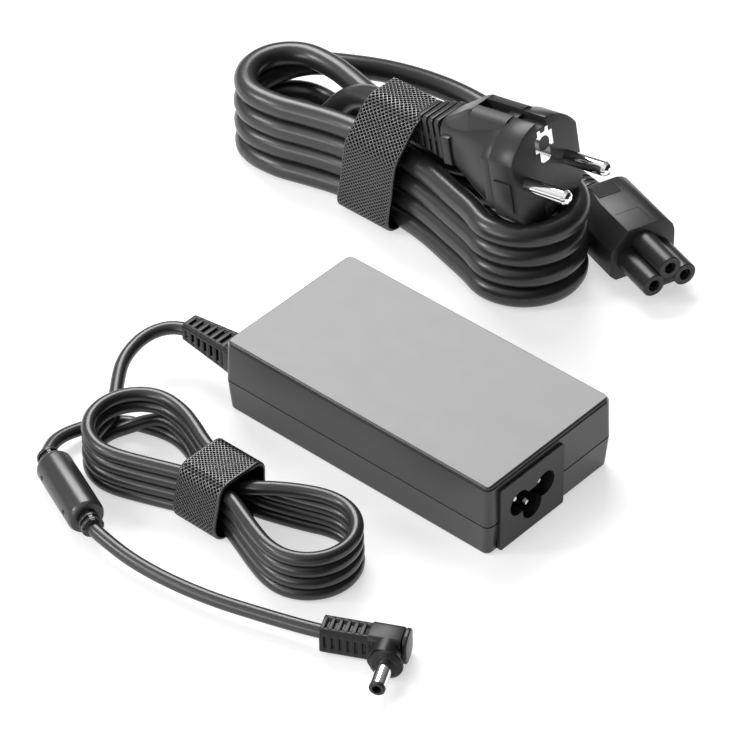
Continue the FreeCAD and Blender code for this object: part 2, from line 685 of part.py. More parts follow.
def barrel_plug():
    """A right-angle plug: ribbed boot and body along local X, barrel along local -Y."""
    frame = standing(PLUG_ELBOW, PLUG_BEARING)
    grooves = []
    boot = rounded(block(-20.7, -5.7, -3.9, 3.9, -4.6, 4.2), 1.6, along(0))
    for i in range(6):
        x = -18.6 + 2.3 * i
        core = rounded(block(x - 1, x + 2, -3.2, 3.2, -3.9, 3.5), 1.4, along(0))
        grooves.append(cut(block(x, x + 1.0, -6, 6, -6, 6), core))
    boot = cut(boot, *grooves)
    boot = cut(boot, rod(dim("dc_cord") / 2, 11, (-21.0, 0, 0), ALONG_X))
    piece("dc_plug_boot", boot, frame)
    body = rounded(block(-5.65, 3.0, -3.9, 4.4, -5.0, 4.6), 1.2, along(0))
    throat = rod(4.4, 5.2, (0, -3.5 - 5.2, 0), ALONG_Y)
    collar = rod(4.9, 1.7, (0, -9.1, 0), ALONG_Y)
    body = fuse(body, throat, collar)
    body = cut(body, rod(dim("barrel_root") + 0.02, 3.0, (0, -9.6, 0), ALONG_Y))
    piece("dc_plug_body", body, frame)
    cap = rounded(block(3.05, 4.7, -3.45, 4.8, -5.2, 4.9), 2.2, along(0))
    piece("dc_plug_end_cap", cap, frame)
    facing_front = FreeCAD.Rotation(FreeCAD.Vector(1, 0, 0), 90)
    barrel_frame = frame * FreeCAD.Placement(FreeCAD.Vector(0, -9.1, 0), facing_front)
    reach = dim("barrel_length")
    skin = dim("barrel_radius") - 0.02
    lining = dim("barrel_root") - 0.25
    turned("dc_barrel_sleeve", (
        (lining, -2.4), (dim("barrel_root"), -2.4), (dim("barrel_root"), 0), (skin, 0),
        (skin, reach - 1.0), (lining, reach - 1.0)), barrel_frame)
    turned("dc_barrel_insulator", (
        (1.35, -2.4), (lining - 0.02, -2.4), (lining - 0.02, reach - 0.95), (skin, reach - 0.95),
        (skin, reach - 0.3), (skin - 0.3, reach), (1.35, reach)), barrel_frame)
    turned("dc_centre_contact", (
        (0.95, -2.4), (1.3, -2.4), (1.3, reach - 0.6), (0.95, reach - 0.6)), barrel_frame)


def low_voltage_lead():
    cable_boot()
    for label, side in (("dc_wire_positive", 1.1), ("dc_wire_negative", -1.1)):
        y = DIMENSIONS["dc_exit_side"] + side
        cord(label, ((-64.6, y, 13.1), (-40.0, y, 13.1), (-36.5, y, 5.0)), size(1.4))
    cord("dc_cord_lead_in", DC_LEAD_IN, dim("dc_cord"))
    hank("dc_cord_hank", DC_HANK, DIMENSIONS["dc_cord"],
         DIMENSIONS["dc_cord"] + DIMENSIONS["dc_layer"] * (DIMENSIONS["dc_layers"] - 1), 1.9)
    axis, gap = DC_HANK["axis"], DC_HANK["half_gap"] + DIMENSIONS["dc_cord"] / 2
    thickness = DIMENSIONS["strap_thickness"]
    strap("dc_strap", ((axis - gap - 1.4, thickness, 3.2), (axis + gap, thickness, 2.4),
                       (axis + gap, 18.6, 2.6), (axis - gap, 18.6, 2.6)), thickness, -28.6, -11.6)
    cord("dc_cord_to_ferrite", DC_TO_FERRITE, dim("dc_cord"))
    ferrite()
    cord("dc_cord_to_plug", DC_TO_PLUG, dim("dc_cord"))
    barrel_plug()


# The mains lead -----------------------------------------------------------------------------------

MAINS_HANK = {"left": (-126.3, 14.4), "right": (-27.0, 16.5), "axis": 81.5, "waist": -79.0,
              "half_gap": 6.9, "hollow_radius": 60.0}
MAINS_FROM_RELIEF = ((-86.0, 83.0, 36.4), (-96.0, 84.5, 33.8), (-104.5, 85.2, 27.6), (-111.0, 83.5, 19.0),
                     (-117.0, 78.5, 10.5))
MAINS_TO_CONNECTOR = ((-137.0, 92.5, 21.0), (-127.5, 106.5, 19.5), (-112.0, 120.5, 15.5),
                      (-91.0, 129.5, 11.0), (-65.0, 127.8, 8.6), (-39.4, 119.3, 8.4))
PLUG_FACE = FreeCAD.Vector(-18.0, 81.5, 44.0)
PLUG_LIFT = 10.5
RELIEF_RISE = 3.9
CONNECTOR_FACE = FreeCAD.Vector(16.2, 100.7, 0)
CONNECTOR_BEARING = -19.0
CONTACT_LEVEL = 7.5


# where along the plug, half width, half height, half width of the flats, rise of the middle
PLUG_SECTIONS = ((-9.0, 13.4, 17.4, 7.2, 0.0), (-22.0, 11.8, 14.6, 6.4, 0.8), (-30.0, 9.0, 10.4, 5.2, 2.6),
                 (-36.0, 7.4, 7.9, 4.0, 3.9))


def eight_sided(x, half_width, half_height, flat, rise):
    """A section across the plug: flat top and bottom, upright sides, slanted between."""
    shoulder = 0.42 * half_height
    quarter = ((flat, half_height), (half_width, shoulder), (half_width, -shoulder), (flat, -half_height))
    corners = [FreeCAD.Vector(x, y, z + rise) for y, z in quarter]
    corners += [FreeCAD.Vector(x, -y, z + rise) for y, z in reversed(quarter)]
    return Part.makePolygon(corners + corners[:1])


def mains_plug():
    """A two-pin plug with an earth socket: its face at local x = 0, its pins along local +X."""
    frame = standing(PLUG_FACE, 0.0, PLUG_LIFT)
    face_radius = dim("plug_face_radius")
    half_width = dim("plug_face_half_width")
    spread = dim("plug_pin_spacing") / 2
    head = overlap(rod(face_radius, 9.5, (-9.5, 0, 0), ALONG_X),
                   block(-9.5, 0, -half_width, half_width, -20, 20))
    grip = DOC.addObject("Part::Feature", "grip")
    grip.Shape = Part.makeLoft([eight_sided(*section) for section in PLUG_SECTIONS], True, True)
    body = fuse(head, grip)
    channel_top = block(-24.0, 1.0, -3.0, 3.0, 14.6, 20)
    channel_bottom = block(-24.0, 1.0, -3.0, 3.0, -20, -14.6)
    guides = [block(-9.0, 1.0, y_from, y_from + 3.0, -2.5, 2.5) for y_from in (-18.2, 15.2)]
    pocket = overlap(rod(face_radius - 1.6, 1.2, (-1.2, 0, 0), ALONG_X),
                     block(-1.2, 0.5, -half_width + 1.6, half_width - 1.6, -14.2, 14.2))
    body = cut(body, channel_top, channel_bottom, *guides, pocket)
    for side in (-1, 1):
        body = cut(body, rod(dim("pin_root") + 0.02, 20, (-12.0, spread * side, 0), ALONG_X))
    body = cut(body, rod(3.2, 20, (-18.0, 0, 10.0), ALONG_X))
    piece("mains_plug_body", body, frame)
    insert = overlap(rod(face_radius - 1.65, 1.1, (-1.15, 0, 0), ALONG_X),
                     block(-1.15, 0.5, -half_width + 1.65, half_width - 1.65, -14.15, 14.15))
    for side in (-1, 1):
        insert = cut(insert, rod(dim("pin_root") + 0.02, 20, (-12.0, spread * side, 0), ALONG_X))
    insert = cut(insert, block(-2, 1, -3.6, 3.6, 5.8, 20), block(-2, 1, -3.2, 3.2, -20, -10.5))
    piece("mains_plug_insert", insert, frame)
    radius = dim("plug_pin_radius") - 0.02
    root = dim("pin_root")
    reach = dim("plug_pin_length")
    for label, y in (("mains_pin_line", -spread.value), ("mains_pin_neutral", spread.value)):
        turned(label, ((0, -11.5), (root, -11.5), (root, 0), (radius, 0), (radius, reach - 1.8),
                       (radius - 0.6, reach - 0.6), (radius - 1.6, reach), (0, reach)),
               frame * FreeCAD.Placement(FreeCAD.Vector(0, y, 0), ALONG_X))
    plate = block(-1.2, 0.0, -3.5, 3.5, 5.9, 14.55)
    bend = block(-1.2, 0.0, -2.6, 2.6, 14.4, 14.8)
    socket = rod(3.15, 16.5, (-17.0, 0, 10.0), ALONG_X)
    strip = block(-23.5, 0.0, -2.6, 2.6, 14.65, 15.4)
    low_strip = block(-23.5, 0.0, -2.6, 2.6, -15.4, -14.65)
    low_plate = block(-1.2, 0.0, -3.1, 3.1, -15.4, -10.6)
    upper = cut(fuse(plate, bend, strip, socket), rod(2.45, 20, (-18.0, 0, 10.0), ALONG_X))
    piece("mains_earth_clip_top", upper, frame)
    piece("mains_earth_clip_bottom", fuse(low_strip, low_plate), frame)
    relief = cone(4.7, 6.9, 16.9, (-53.0, 0, RELIEF_RISE), ALONG_X)
    rings = []
    for i in range(4):
        x = -50.0 + 3.0 * i
        core = rod(4.3 + 0.35 * i, 3, (x - 1, 0, RELIEF_RISE), ALONG_X)
        rings.append(cut(rod(8, 1.3, (x, 0, RELIEF_RISE), ALONG_X), core))
    relief = cut(relief, *rings, rod(dim("mains_cord") / 2, 7.0, (-53.5, 0, RELIEF_RISE), ALONG_X))
    piece("mains_plug_relief", relief, frame)
    leave = [frame.multVec(FreeCAD.Vector(x, 0, RELIEF_RISE)) for x in (-46.6, -58.0)]
    cord("mains_cord_to_plug", (*leave, *MAINS_FROM_RELIEF), dim("mains_cord"))


def connector():
    """A three-way appliance connector lying on the table, its nose along local +X."""
    frame = standing(CONNECTOR_FACE, CONNECTOR_BEARING)
    nose_length = 15.8
    outline = ((-11.8, 2.6), (-9.6, 0.3), (9.6, 0.3), (11.8, 2.6), (11.8, 11.9), (5.6, 18.2), (-5.6, 18.2),
               (-11.8, 11.9))
    body = DOC.addObject("PartDesign::Body", "connector_shape")
    sketch = polygon_sketch(body, "YZ_Plane", outline)
    DOC.recompute()
    pad = body.newObject("PartDesign::Pad", "pad")
    pad.Profile = sketch
    pad.Length = 19.6
    pad.Reversed = True
    body.Placement = FreeCAD.Placement(FreeCAD.Vector(-nose_length, 0, 0), FreeCAD.Rotation())
    across = DIMENSIONS["lobe_spacing"] / 2
    drop = DIMENSIONS["lobe_drop"]
    base = -nose_length - 0.5
    nose = [rod(dim("lobe_radius") - 0.3, nose_length + 0.5, (base, y, z), ALONG_X)
            for y, z in ((-across, CONTACT_LEVEL), (across, CONTACT_LEVEL), (0, CONTACT_LEVEL + drop))]
    web = block(base, 0, -across, across, CONTACT_LEVEL - 1.5, CONTACT_LEVEL + 1.5)
    stem = block(base, 0, -2.9, 2.9, CONTACT_LEVEL, CONTACT_LEVEL + drop)
    grip = rounded(block(-42.5, -35.0, -9.2, 9.2, 0.8, 17.2), 4.0, along(0))
    grooves = [cut(block(-41.4 + 2.0 * i, -40.5 + 2.0 * i, -12, 12, -1, 19),
                   rounded(block(-42.0 + 2.0 * i, -40.0 + 2.0 * i, -8.5, 8.5, 1.5, 16.5), 3.5, along(0)))
               for i in range(3)]
    rear = rounded(block(-46.0, -42.0, -7.6, 7.6, 1.6, 15.2), 3.0, along(0))
    shape = fuse(body, *nose, web, stem, rear, cut(grip, *grooves))
    pin = DIMENSIONS["inlet_pin_spacing"] / 2
    contacts = (("connector_contact_line", -pin, CONTACT_LEVEL),
                ("connector_contact_neutral", pin, CONTACT_LEVEL),
                ("connector_contact_earth", 0.0, CONTACT_LEVEL + drop))
    for label, y, z in contacts:
        shape = cut(shape, rod(1.95, 13, (-12.5, y, z), ALONG_X))
    piece("connector_body", shape, frame)
    for label, y, z in contacts:
        turned(label, ((1.3, -12.3), (1.9, -12.3), (1.9, -1.0), (1.3, -1.0)),
               frame * FreeCAD.Placement(FreeCAD.Vector(0, y, z), ALONG_X))
    cord_level = 8.4
    relief = cone(4.4, 5.8, 12.5, (-58.6, 0, cord_level), ALONG_X)
    rings = [cut(rod(8, 1.3, (-56.0 + 3.0 * i, 0, cord_level), ALONG_X),
                 rod(3.9 + 0.3 * i, 3, (-57.0 + 3.0 * i, 0, cord_level), ALONG_X)) for i in range(3)]
    piece("connector_relief", cut(relief, *rings), frame)


def mains_lead():
    hank("mains_cord_hank", MAINS_HANK, DIMENSIONS["mains_cord"],
         DIMENSIONS["mains_cord"] + DIMENSIONS["mains_layer"] * (DIMENSIONS["mains_layers"] - 1), 3.4)
    thickness = DIMENSIONS["strap_thickness"]
    near, far = MAINS_HANK["axis"] - 14.7, MAINS_HANK["axis"] + 12.3
    loop = ((near, thickness, 5.0), (far, thickness, 5.0), (far, 33.0, 5.0),
            (far - 5.5, 43.6, 4.0), (near + 8.5, 43.6, 6.0), (near, 31.0, 6.0))
    strap("mains_strap", loop, thickness, -92.5, -71.0, lean=8.5)
    mains_plug()
    cord("mains_cord_to_connector", MAINS_TO_CONNECTOR, dim("mains_cord"))
    connector()


lower_shell()
upper_shell()
top_panel()
inlet_housing()
inlet_pin("inlet_pin_line", -1, 0)
inlet_pin("inlet_pin_neutral", 1, 0)
inlet_pin("inlet_pin_earth", 0, dim("lobe_drop"))
circuit()
low_voltage_lead()
mains_lead()

DOC.recompute()
faults = [o.Name for o in DOC.Objects if "Invalid" in o.State or "Error" in o.State]
if faults:
    raise RuntimeError("failed objects: %s" % ", ".join(faults))
for thing in PIECES:
    if thing.Shape.isNull() or not thing.Shape.isValid():
        raise RuntimeError("bad shape: %s" % thing.Label)
    if len(thing.Shape.Solids) != 1:
        print("%s has %d solids" % (thing.Label, len(thing.Shape.Solids)))
os.makedirs("parts", exist_ok=True)
for thing in PIECES:
    thing.Shape.exportStep("parts/%s.step" % thing.Label)
print("%d sub-parts" % len(PIECES))
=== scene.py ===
"""A laptop power adapter: a dark brick with a pale lid panel, its strapped low-voltage lead with a
ferrite and a right-angle plug, and a loose, strapped mains lead with a two-pin plug and a connector.
Lengths are millimetres in the object's own frame and are turned into metres where a piece is made."""
import json
import math
import random

import bmesh
import bpy
from mathutils import Matrix, Vector


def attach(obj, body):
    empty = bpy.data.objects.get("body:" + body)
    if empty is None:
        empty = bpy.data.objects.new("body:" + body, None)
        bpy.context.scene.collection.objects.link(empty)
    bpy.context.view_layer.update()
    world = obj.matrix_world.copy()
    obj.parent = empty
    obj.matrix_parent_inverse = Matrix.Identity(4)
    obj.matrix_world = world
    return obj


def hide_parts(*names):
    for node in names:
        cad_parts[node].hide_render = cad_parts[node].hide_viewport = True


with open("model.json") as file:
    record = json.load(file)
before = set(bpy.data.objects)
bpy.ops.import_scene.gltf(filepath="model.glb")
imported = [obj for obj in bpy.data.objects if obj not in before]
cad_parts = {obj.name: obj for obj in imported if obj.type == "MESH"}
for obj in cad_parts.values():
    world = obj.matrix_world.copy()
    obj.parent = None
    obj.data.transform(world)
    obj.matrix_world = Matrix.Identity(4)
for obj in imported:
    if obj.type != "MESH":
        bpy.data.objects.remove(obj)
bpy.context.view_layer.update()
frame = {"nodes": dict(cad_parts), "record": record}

MM = 0.001
RNG = random.Random(7)
BRICK, LEAD = "brick", "mains_lead"
# a turned outline stops this far short of its axis, so that its skin stays closed
AXIS = 0.05

# Camera -----------------------------------------------------------------------------------------

CAMERA_PLACE = (0.63165, -0.71954, 0.82146)
CAMERA_RIGHT = (0.74678, 0.66500, -0.00959)
CAMERA_UP = (-0.41942, 0.48209, 0.76920)
CAMERA_BACK = (0.51615, -0.57041, 0.63893)
FOCAL_LENGTH, SENSOR_WIDTH = 205.15, 36.0


def add_camera():
    """The camera that the photograph was taken with, as solved from the brick and the pins."""
    data = bpy.data.cameras.new("camera")
    data.sensor_width = SENSOR_WIDTH
    data.lens = FOCAL_LENGTH
    data.clip_start = 0.05
    data.clip_end = 20.0
    camera = bpy.data.objects.new("camera", data)
    bpy.context.scene.collection.objects.link(camera)
    columns = (CAMERA_RIGHT, CAMERA_UP, CAMERA_BACK, CAMERA_PLACE)
    camera.matrix_world = Matrix([[column[i] for column in columns] for i in range(3)] + [(0, 0, 0, 1)])
    bpy.context.scene.camera = camera


add_camera()

# Materials --------------------------------------------------------------------------------------


def new_material(name):
    """A material with its node tree and its shader."""
    material = bpy.data.materials.new(name)
    material.use_nodes = True
    tree = material.node_tree
    shader = tree.nodes["Principled BSDF"]
    return material, tree, shader


def noise_at(tree, scale, detail=3.0, rough=0.5, stretch=None):
    """Noise fixed to the piece's own frame."""
    where = tree.nodes.new("ShaderNodeTexCoord").outputs["Object"]
    if stretch is not None:
        mapping = tree.nodes.new("ShaderNodeMapping")
        mapping.inputs["Scale"].default_value = stretch
        tree.links.new(where, mapping.inputs["Vector"])
        where = mapping.outputs["Vector"]
    noise = tree.nodes.new("ShaderNodeTexNoise")
    noise.inputs["Scale"].default_value = scale
    noise.inputs["Detail"].default_value = detail
    noise.inputs["Roughness"].default_value = rough
    tree.links.new(where, noise.inputs["Vector"])
    return noise.outputs["Fac"]


def ramp(tree, source, low, high, start=0.3, end=0.7):
    """Map a source that runs from start to end onto numbers from low to high."""
    node = tree.nodes.new("ShaderNodeMapRange")
    node.inputs["From Min"].default_value = start
    node.inputs["From Max"].default_value = end
    node.inputs["To Min"].default_value = low
    node.inputs["To Max"].default_value = high
    tree.links.new(source, node.inputs["Value"])
    return node.outputs["Result"]


def tinted(tree, source, dark, light):
    """A colour between dark and light."""
    mix = tree.nodes.new("ShaderNodeMix")
    mix.data_type = "RGBA"
    tree.links.new(source, mix.inputs["Factor"])
    mix.inputs["A"].default_value = (*dark, 1)
    mix.inputs["B"].default_value = (*light, 1)
    return mix.outputs["Result"]


def bump(tree, shader, height, strength, distance):
    """Raise the surface by a height of up to this distance in metres."""
    node = tree.nodes.new("ShaderNodeBump")
    node.inputs["Strength"].default_value = strength
    node.inputs["Distance"].default_value = distance
    tree.links.new(height, node.inputs["Height"])
    tree.links.new(node.outputs["Normal"], shader.inputs["Normal"])


TONE_SCALE, GLOSS_SCALE, GLOSS_SPREAD, GRAIN_STRENGTH = 55.0, 140.0, 0.05, 0.35


def plastic(name, colour, roughness, grain=2600.0, grain_depth=0.00003, spread=0.12, specular=0.5,
            metal=0.0):
    """Moulded plastic, rubber or metal: fine surface grain and slow changes of tone and gloss."""
    material, tree, shader = new_material(name)
    slow = noise_at(tree, TONE_SCALE, 4.0)
    dark = tuple(c * (1 - spread) for c in colour)
    light = tuple(c * (1 + spread) for c in colour)
    tree.links.new(tinted(tree, slow, dark, light), shader.inputs["Base Color"])
    worn = noise_at(tree, GLOSS_SCALE, 5.0, 0.6)
    gloss = ramp(tree, worn, roughness * (1 - GLOSS_SPREAD), roughness * (1 + GLOSS_SPREAD))
    tree.links.new(gloss, shader.inputs["Roughness"])
    fine = noise_at(tree, grain, 2.0)
    bump(tree, shader, fine, GRAIN_STRENGTH, grain_depth)
    shader.inputs["Specular IOR Level"].default_value = specular
    shader.inputs["Metallic"].default_value = metal
    return material


# name, colour, roughness, grain scale, grain depth in metres, spread of tone, specular level, metallic
MATERIAL = {
    "case": plastic("case_plastic", (0.040, 0.040, 0.041), 0.30, 3000.0, 0.00003, 0.08, 0.40),
    "panel": plastic("panel_plastic", (0.283, 0.283, 0.286), 0.50, 3500.0, 0.00002, 0.008, 0.35),
    "inlet": plastic("inlet_plastic", (0.014, 0.014, 0.0145), 0.42, 2600.0, 0.00002, 0.12, 0.35),
    "plated_metal": plastic("plated_metal", (0.86, 0.86, 0.85), 0.07, 900.0, 0.000003, 0.03, 0.5, 1.0),
    "board": plastic("board_laminate", (0.33, 0.20, 0.06), 0.5),
    "ceramic": plastic("ceramic_body", (0.12, 0.06, 0.03), 0.25),
    "film": plastic("film_box", (0.50, 0.38, 0.06), 0.35),
    "ferrite": plastic("sintered_ferrite", (0.035, 0.035, 0.04), 0.6, 1500.0, 0.0001),
    "copper": plastic("enamelled_copper", (0.50, 0.17, 0.05), 0.3, 1800.0, 0.0001, 0.2, 0.5, 1.0),
    "bobbin": plastic("bobbin_plastic", (0.03, 0.03, 0.03), 0.5),
    "chip": plastic("chip_epoxy", (0.015, 0.015, 0.016), 0.55),
    "can": plastic("can_sleeve", (0.02, 0.03, 0.09), 0.3),
    "heatsink": plastic("heatsink_metal", (0.6, 0.61, 0.62), 0.35, 1200.0, 0.00002, 0.05, 0.5, 1.0),
    "cord": plastic("cord_jacket", (0.019, 0.019, 0.0195), 0.30, 2200.0, 0.000008, 0.12, 0.55),
    "moulding": plastic("moulded_rubber", (0.011, 0.011, 0.0113), 0.36, 3200.0, 0.00002, 0.12, 0.26),
    "plug": plastic("plug_plastic", (0.020, 0.020, 0.0206), 0.34, 3200.0, 0.00002, 0.10, 0.32),
    # near-black painted shade for holes, recesses and contacts deep in their barrels, and the colour of the
    # connector top's dark joint lines
    "dark": plastic("painted_shade_and_joint_lines", (0.006, 0.006, 0.0062), 0.6, 2600.0, 0.00002, 0.1, 0.2),
}
FIBRE_SCALE = 9000.0


def woven(name):
    """Hook-and-loop tape: glossy threads standing over hollows, with painted shade in the hollows that
    darkens the base colour and turns the specular level nearly off.
    """
    material, tree, shader = new_material(name)
    height = tree.nodes.new("ShaderNodeAttribute")
    height.attribute_name = "thread"
    fibre = noise_at(tree, FIBRE_SCALE, 2.0, 0.7, stretch=(1.0, 0.15, 0.15))
    # painted shade: the lower the net, the darker the base colour and the weaker the specular level
    raised = ramp(tree, height.outputs["Fac"], 0.0, 1.0, 0.35, 0.9)
    base = tinted(tree, raised, (0.0015, 0.0015, 0.0016), (0.012, 0.012, 0.0123))
    tree.links.new(base, shader.inputs["Base Color"])
    tree.links.new(ramp(tree, fibre, 0.16, 0.34), shader.inputs["Roughness"])
    hollow_shade_specular = ramp(tree, height.outputs["Fac"], 0.02, 1.0, 0.45, 0.95)
    tree.links.new(hollow_shade_specular, shader.inputs["Specular IOR Level"])
    bump(tree, shader, fibre, 0.6, 0.00006)
    return material


MATERIAL["strap"] = woven("hook_and_loop")

# Mesh helpers -----------------------------------------------------------------------------------


def link(name, data):
    """A new piece in the scene."""
    piece = bpy.data.objects.new(name, data)
    bpy.context.scene.collection.objects.link(piece)
    return piece


def mesh_piece(name, vertices, faces):
    """A smooth piece from points in mm."""
    mesh = bpy.data.meshes.new(name)
    mesh.from_pydata([tuple(c * MM for c in v) for v in vertices], [], faces)
    fix = bmesh.new()
    fix.from_mesh(mesh)
    bmesh.ops.recalc_face_normals(fix, faces=fix.faces)
    fix.to_mesh(mesh)
    fix.free()
    mesh.shade_smooth()
    return link(name, mesh)


def dress(piece, slot, body, *nodes, material=None):
    """Give a piece its material, picked by its slot unless another is named, put it on its body, and hide
    the CAD nodes it stands for.
    """
    piece.data.materials.clear()
    piece.data.materials.append(MATERIAL[material or slot])
    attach(piece, body)
    if nodes:
        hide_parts(*nodes)
    return piece


def standing(origin, bearing, lift=0.0):
    """A frame in mm whose local +X points along a compass bearing, tipped up by a lift."""
    turn = Matrix.Rotation(math.radians(bearing), 4, "Z") @ Matrix.Rotation(-math.radians(lift), 4, "Y")
    return Matrix.Translation(origin) @ turn


# an edge is bevelled when its faces meet at more than this angle, in radians
SHARP = 0.5
# corners of different skins closer than this are joined, in mm
WELD = 0.0004


class Form:
    """Several closed skins gathered into one piece, drawn in a local frame in mm."""

    def __init__(self):
        self.skins = bmesh.new()

    def skin(self, rings, bevel=0.0, steps=2, closed=True):
        """A skin through rings that all have the same number of points."""
        part = bmesh.new()
        count = len(rings[0])
        grid = [[part.verts.new(point) for point in ring] for ring in rings]
        for low, high in zip(grid, grid[1:]):
            for j in range(count):
                k = (j + 1) % count
                part.faces.new((low[j], low[k], high[k], high[j]))
        if closed:
            part.faces.new(grid[0])
            part.faces.new(grid[-1])
        bmesh.ops.recalc_face_normals(part, faces=part.faces)
        if bevel:
            sharp = [e for e in part.edges if len(e.link_faces) == 2 and e.calc_face_angle(0.0) > SHARP]
            bmesh.ops.bevel(part, geom=sharp, offset=bevel, segments=steps, profile=0.5,
                            affect="EDGES", clamp_overlap=True)
        self.join(part)

    def join(self, part):
        """Add a skin to the form."""
        spare = bpy.data.meshes.new("spare")
        part.to_mesh(spare)
        part.free()
        self.skins.from_mesh(spare)
        bpy.data.meshes.remove(spare)

    def prism(self, outline, x_from, x_to, bevel=0.0, steps=2):
        """An outline in Y and Z pushed along X."""
        self.skin([[(x, y, z) for y, z in outline] for x in (x_from, x_to)], bevel, steps)

    def box(self, x_from, x_to, y_from, y_to, z_from, z_to, bevel=0.3, steps=2):
        """A block with bevelled edges."""
        outline = ((y_from, z_from), (y_to, z_from), (y_to, z_to), (y_from, z_to))
        self.prism(outline, x_from, x_to, bevel, steps)

    def turned(self, profile, centre=(0, 0), sides=40, axis="X", bevel=0.0):
        """A (radius, distance) outline swept round a line along X, or along Y through (x, z)."""
        rings = []
        for step in range(sides):
            a = 2 * math.pi * step / sides
            if axis == "X":
                ring = [(d, centre[0] + r * math.cos(a), centre[1] + r * math.sin(a)) for r, d in profile]
            else:
                ring = [(centre[0] + r * math.cos(a), d, centre[1] + r * math.sin(a)) for r, d in profile]
            rings.append(ring)
        self.skin(rings + rings[:1], bevel, closed=False)

    def plate(self, outline, hole, x_from, x_to):
        """A flat plate across X with one hole in it."""
        part = bmesh.new()
        loops = []
        for ring in (outline, hole):
            corners = [part.verts.new((x_from, y, z)) for y, z in ring]
            loops += [part.edges.new((corners[i - 1], corners[i])) for i in range(len(corners))]
        bmesh.ops.triangle_fill(part, use_beauty=True, edges=loops)
        out = bmesh.ops.extrude_face_region(part, geom=list(part.faces))
        moved = [g for g in out["geom"] if isinstance(g, bmesh.types.BMVert)]
        bmesh.ops.translate(part, verts=moved, vec=(x_to - x_from, 0, 0))
        bmesh.ops.recalc_face_normals(part, faces=part.faces)
        self.join(part)

    def finish(self, name, place, sharp=32.0):
        """The finished piece, set in its place; edges sharper than this many degrees stay crisp."""
        mesh = bpy.data.meshes.new(name)
        bmesh.ops.remove_doubles(self.skins, verts=self.skins.verts, dist=WELD)
        self.skins.transform(Matrix.Scale(MM, 4) @ place)
        self.skins.to_mesh(mesh)
        self.skins.free()
        mesh.shade_smooth()
        mesh.set_sharp_from_angle(angle=math.radians(sharp))
        return link(name, mesh)


def rounded_box(half_width, half_height, radius, middle=(0.0, 0.0), steps=4):
    """The outline of a rectangle with round corners, in Y and Z."""
    outline = []
    for quarter, (side, rise) in enumerate(((1, 1), (-1, 1), (-1, -1), (1, -1))):
        for step in range(steps + 1):
            a = math.pi / 2 * (quarter + step / steps)
            outline.append((middle[0] + side * (half_width - radius) + radius * math.cos(a),
                            middle[1] + rise * (half_height - radius) + radius * math.sin(a)))
    return outline


def bulging(half_width, half_height, power, middle=0.0, count=48):
    """A superellipse in Y and Z."""
    outline = []
    for step in range(count):
        a = 2 * math.pi * step / count
        c, s = math.cos(a), math.sin(a)
        outline.append((math.copysign(abs(c) ** (2 / power), c) * half_width,
                        math.copysign(abs(s) ** (2 / power), s) * half_height + middle))
    return outline


# Cords ------------------------------------------------------------------------------------------


def ease(value, start, end):
    """A smooth step from 0 at start to 1 at end."""
    t = min(1.0, max(0.0, (value - start) / (end - start)))
    return t * t * (3 - 2 * t)


def around(centre, radius, first, last, count):
    """Control points round an eye, set out so that the spline itself runs on the circle."""
    step = (last - first) / (count - 1)
    reach = radius / math.cos(math.radians(step) / 2)
    angles = [math.radians(first + step * i) for i in range(count)]
    return [(centre[0] + reach * math.cos(a), centre[1] + reach * math.sin(a)) for a in angles]


def cord_curve(name, points, diameter):
    """One smooth spline with a round section."""
    curve = bpy.data.curves.new(name, "CURVE")
    curve.dimensions = "3D"
    spline = curve.splines.new("NURBS")
    spline.points.add(len(points) - 1)
    for target, point in zip(spline.points, points):
        target.co = (*[c * MM for c in point], 1.0)
    spline.order_u = 3
    spline.use_endpoint_u = True
    spline.resolution_u = 6
    spline.use_smooth = True
    curve.bevel_depth = diameter / 2 * MM
    curve.bevel_resolution = 6
    curve.use_fill_caps = True
    return link(name, curve)


# the low-voltage lead: its runs in order, and the middles and radii of its hank's two eyes
DC_DIAMETER, DC_PITCH = 4.3, 4.32
DC_LEFT, DC_RIGHT = (-53.9, -64.3), (14.6, -64.2)
DC_LEFT_EYE, DC_RIGHT_EYE = 14.7, 14.1
DC_NEAR = ((-50.5, -78.6), (-44.5, -76.7), (-37.3, -74.0), (-30.0, -71.2), (-24.0, -69.3), (-17.5, -68.6),
           (-10.5, -69.9), (-3.0, -72.9), (4.0, -75.7))
DC_FAR = ((4.0, -53.0), (-3.5, -55.6), (-11.0, -58.0), (-19.0, -59.0), (-26.0, -58.8), (-33.0, -57.0),
          (-41.0, -53.2), (-48.5, -50.4))
DC_LEAD_IN = ((-64.7, -19.0, 13.1), (-76.8, -19.0, 13.1), (-84.0, -27.5, 12.7), (-83.2, -40.5, 10.8),
              (-76.0, -51.0, 8.8), (-69.6, -58.4, 7.3))
DC_TO_FERRITE = ((-63.0, -52.6, 2.3), (-69.8, -55.8, 2.5), (-74.8, -65.5, 3.8), (-76.7, -76.0, 5.0),
                 (-73.1, -83.7, 5.7))
FERRITE_ENDS = ((-72.0, -84.2, 5.7), (-64.0, -87.6, 5.7), (-48.0, -94.4, 5.7), (-40.5, -97.6, 5.7))
DC_TO_PLUG = ((-37.4, -98.9, 5.7), (-20.0, -100.2, 4.4), (3.0, -97.6, 4.4), (25.0, -91.5, 5.0),
              (40.4, -86.6, 5.4), (46.6, -83.5, 5.4))
# how far a turn that changes level swings aside to pass the others
DC_SWING, MAINS_SWING = 4.4, 8.0
# level of each turn at the left eye, along the near side and right eye, and after the far side
DC_TURNS = ((2, 2, 3), (3, 3, 4), (4, 4, 2), (1, 1, 1))


def dc_level(level):
    """Height of the cord's middle in one layer of the hank, counted from the floor."""
    return DC_DIAMETER / 2 + DC_PITCH * (level - 1) + 0.02


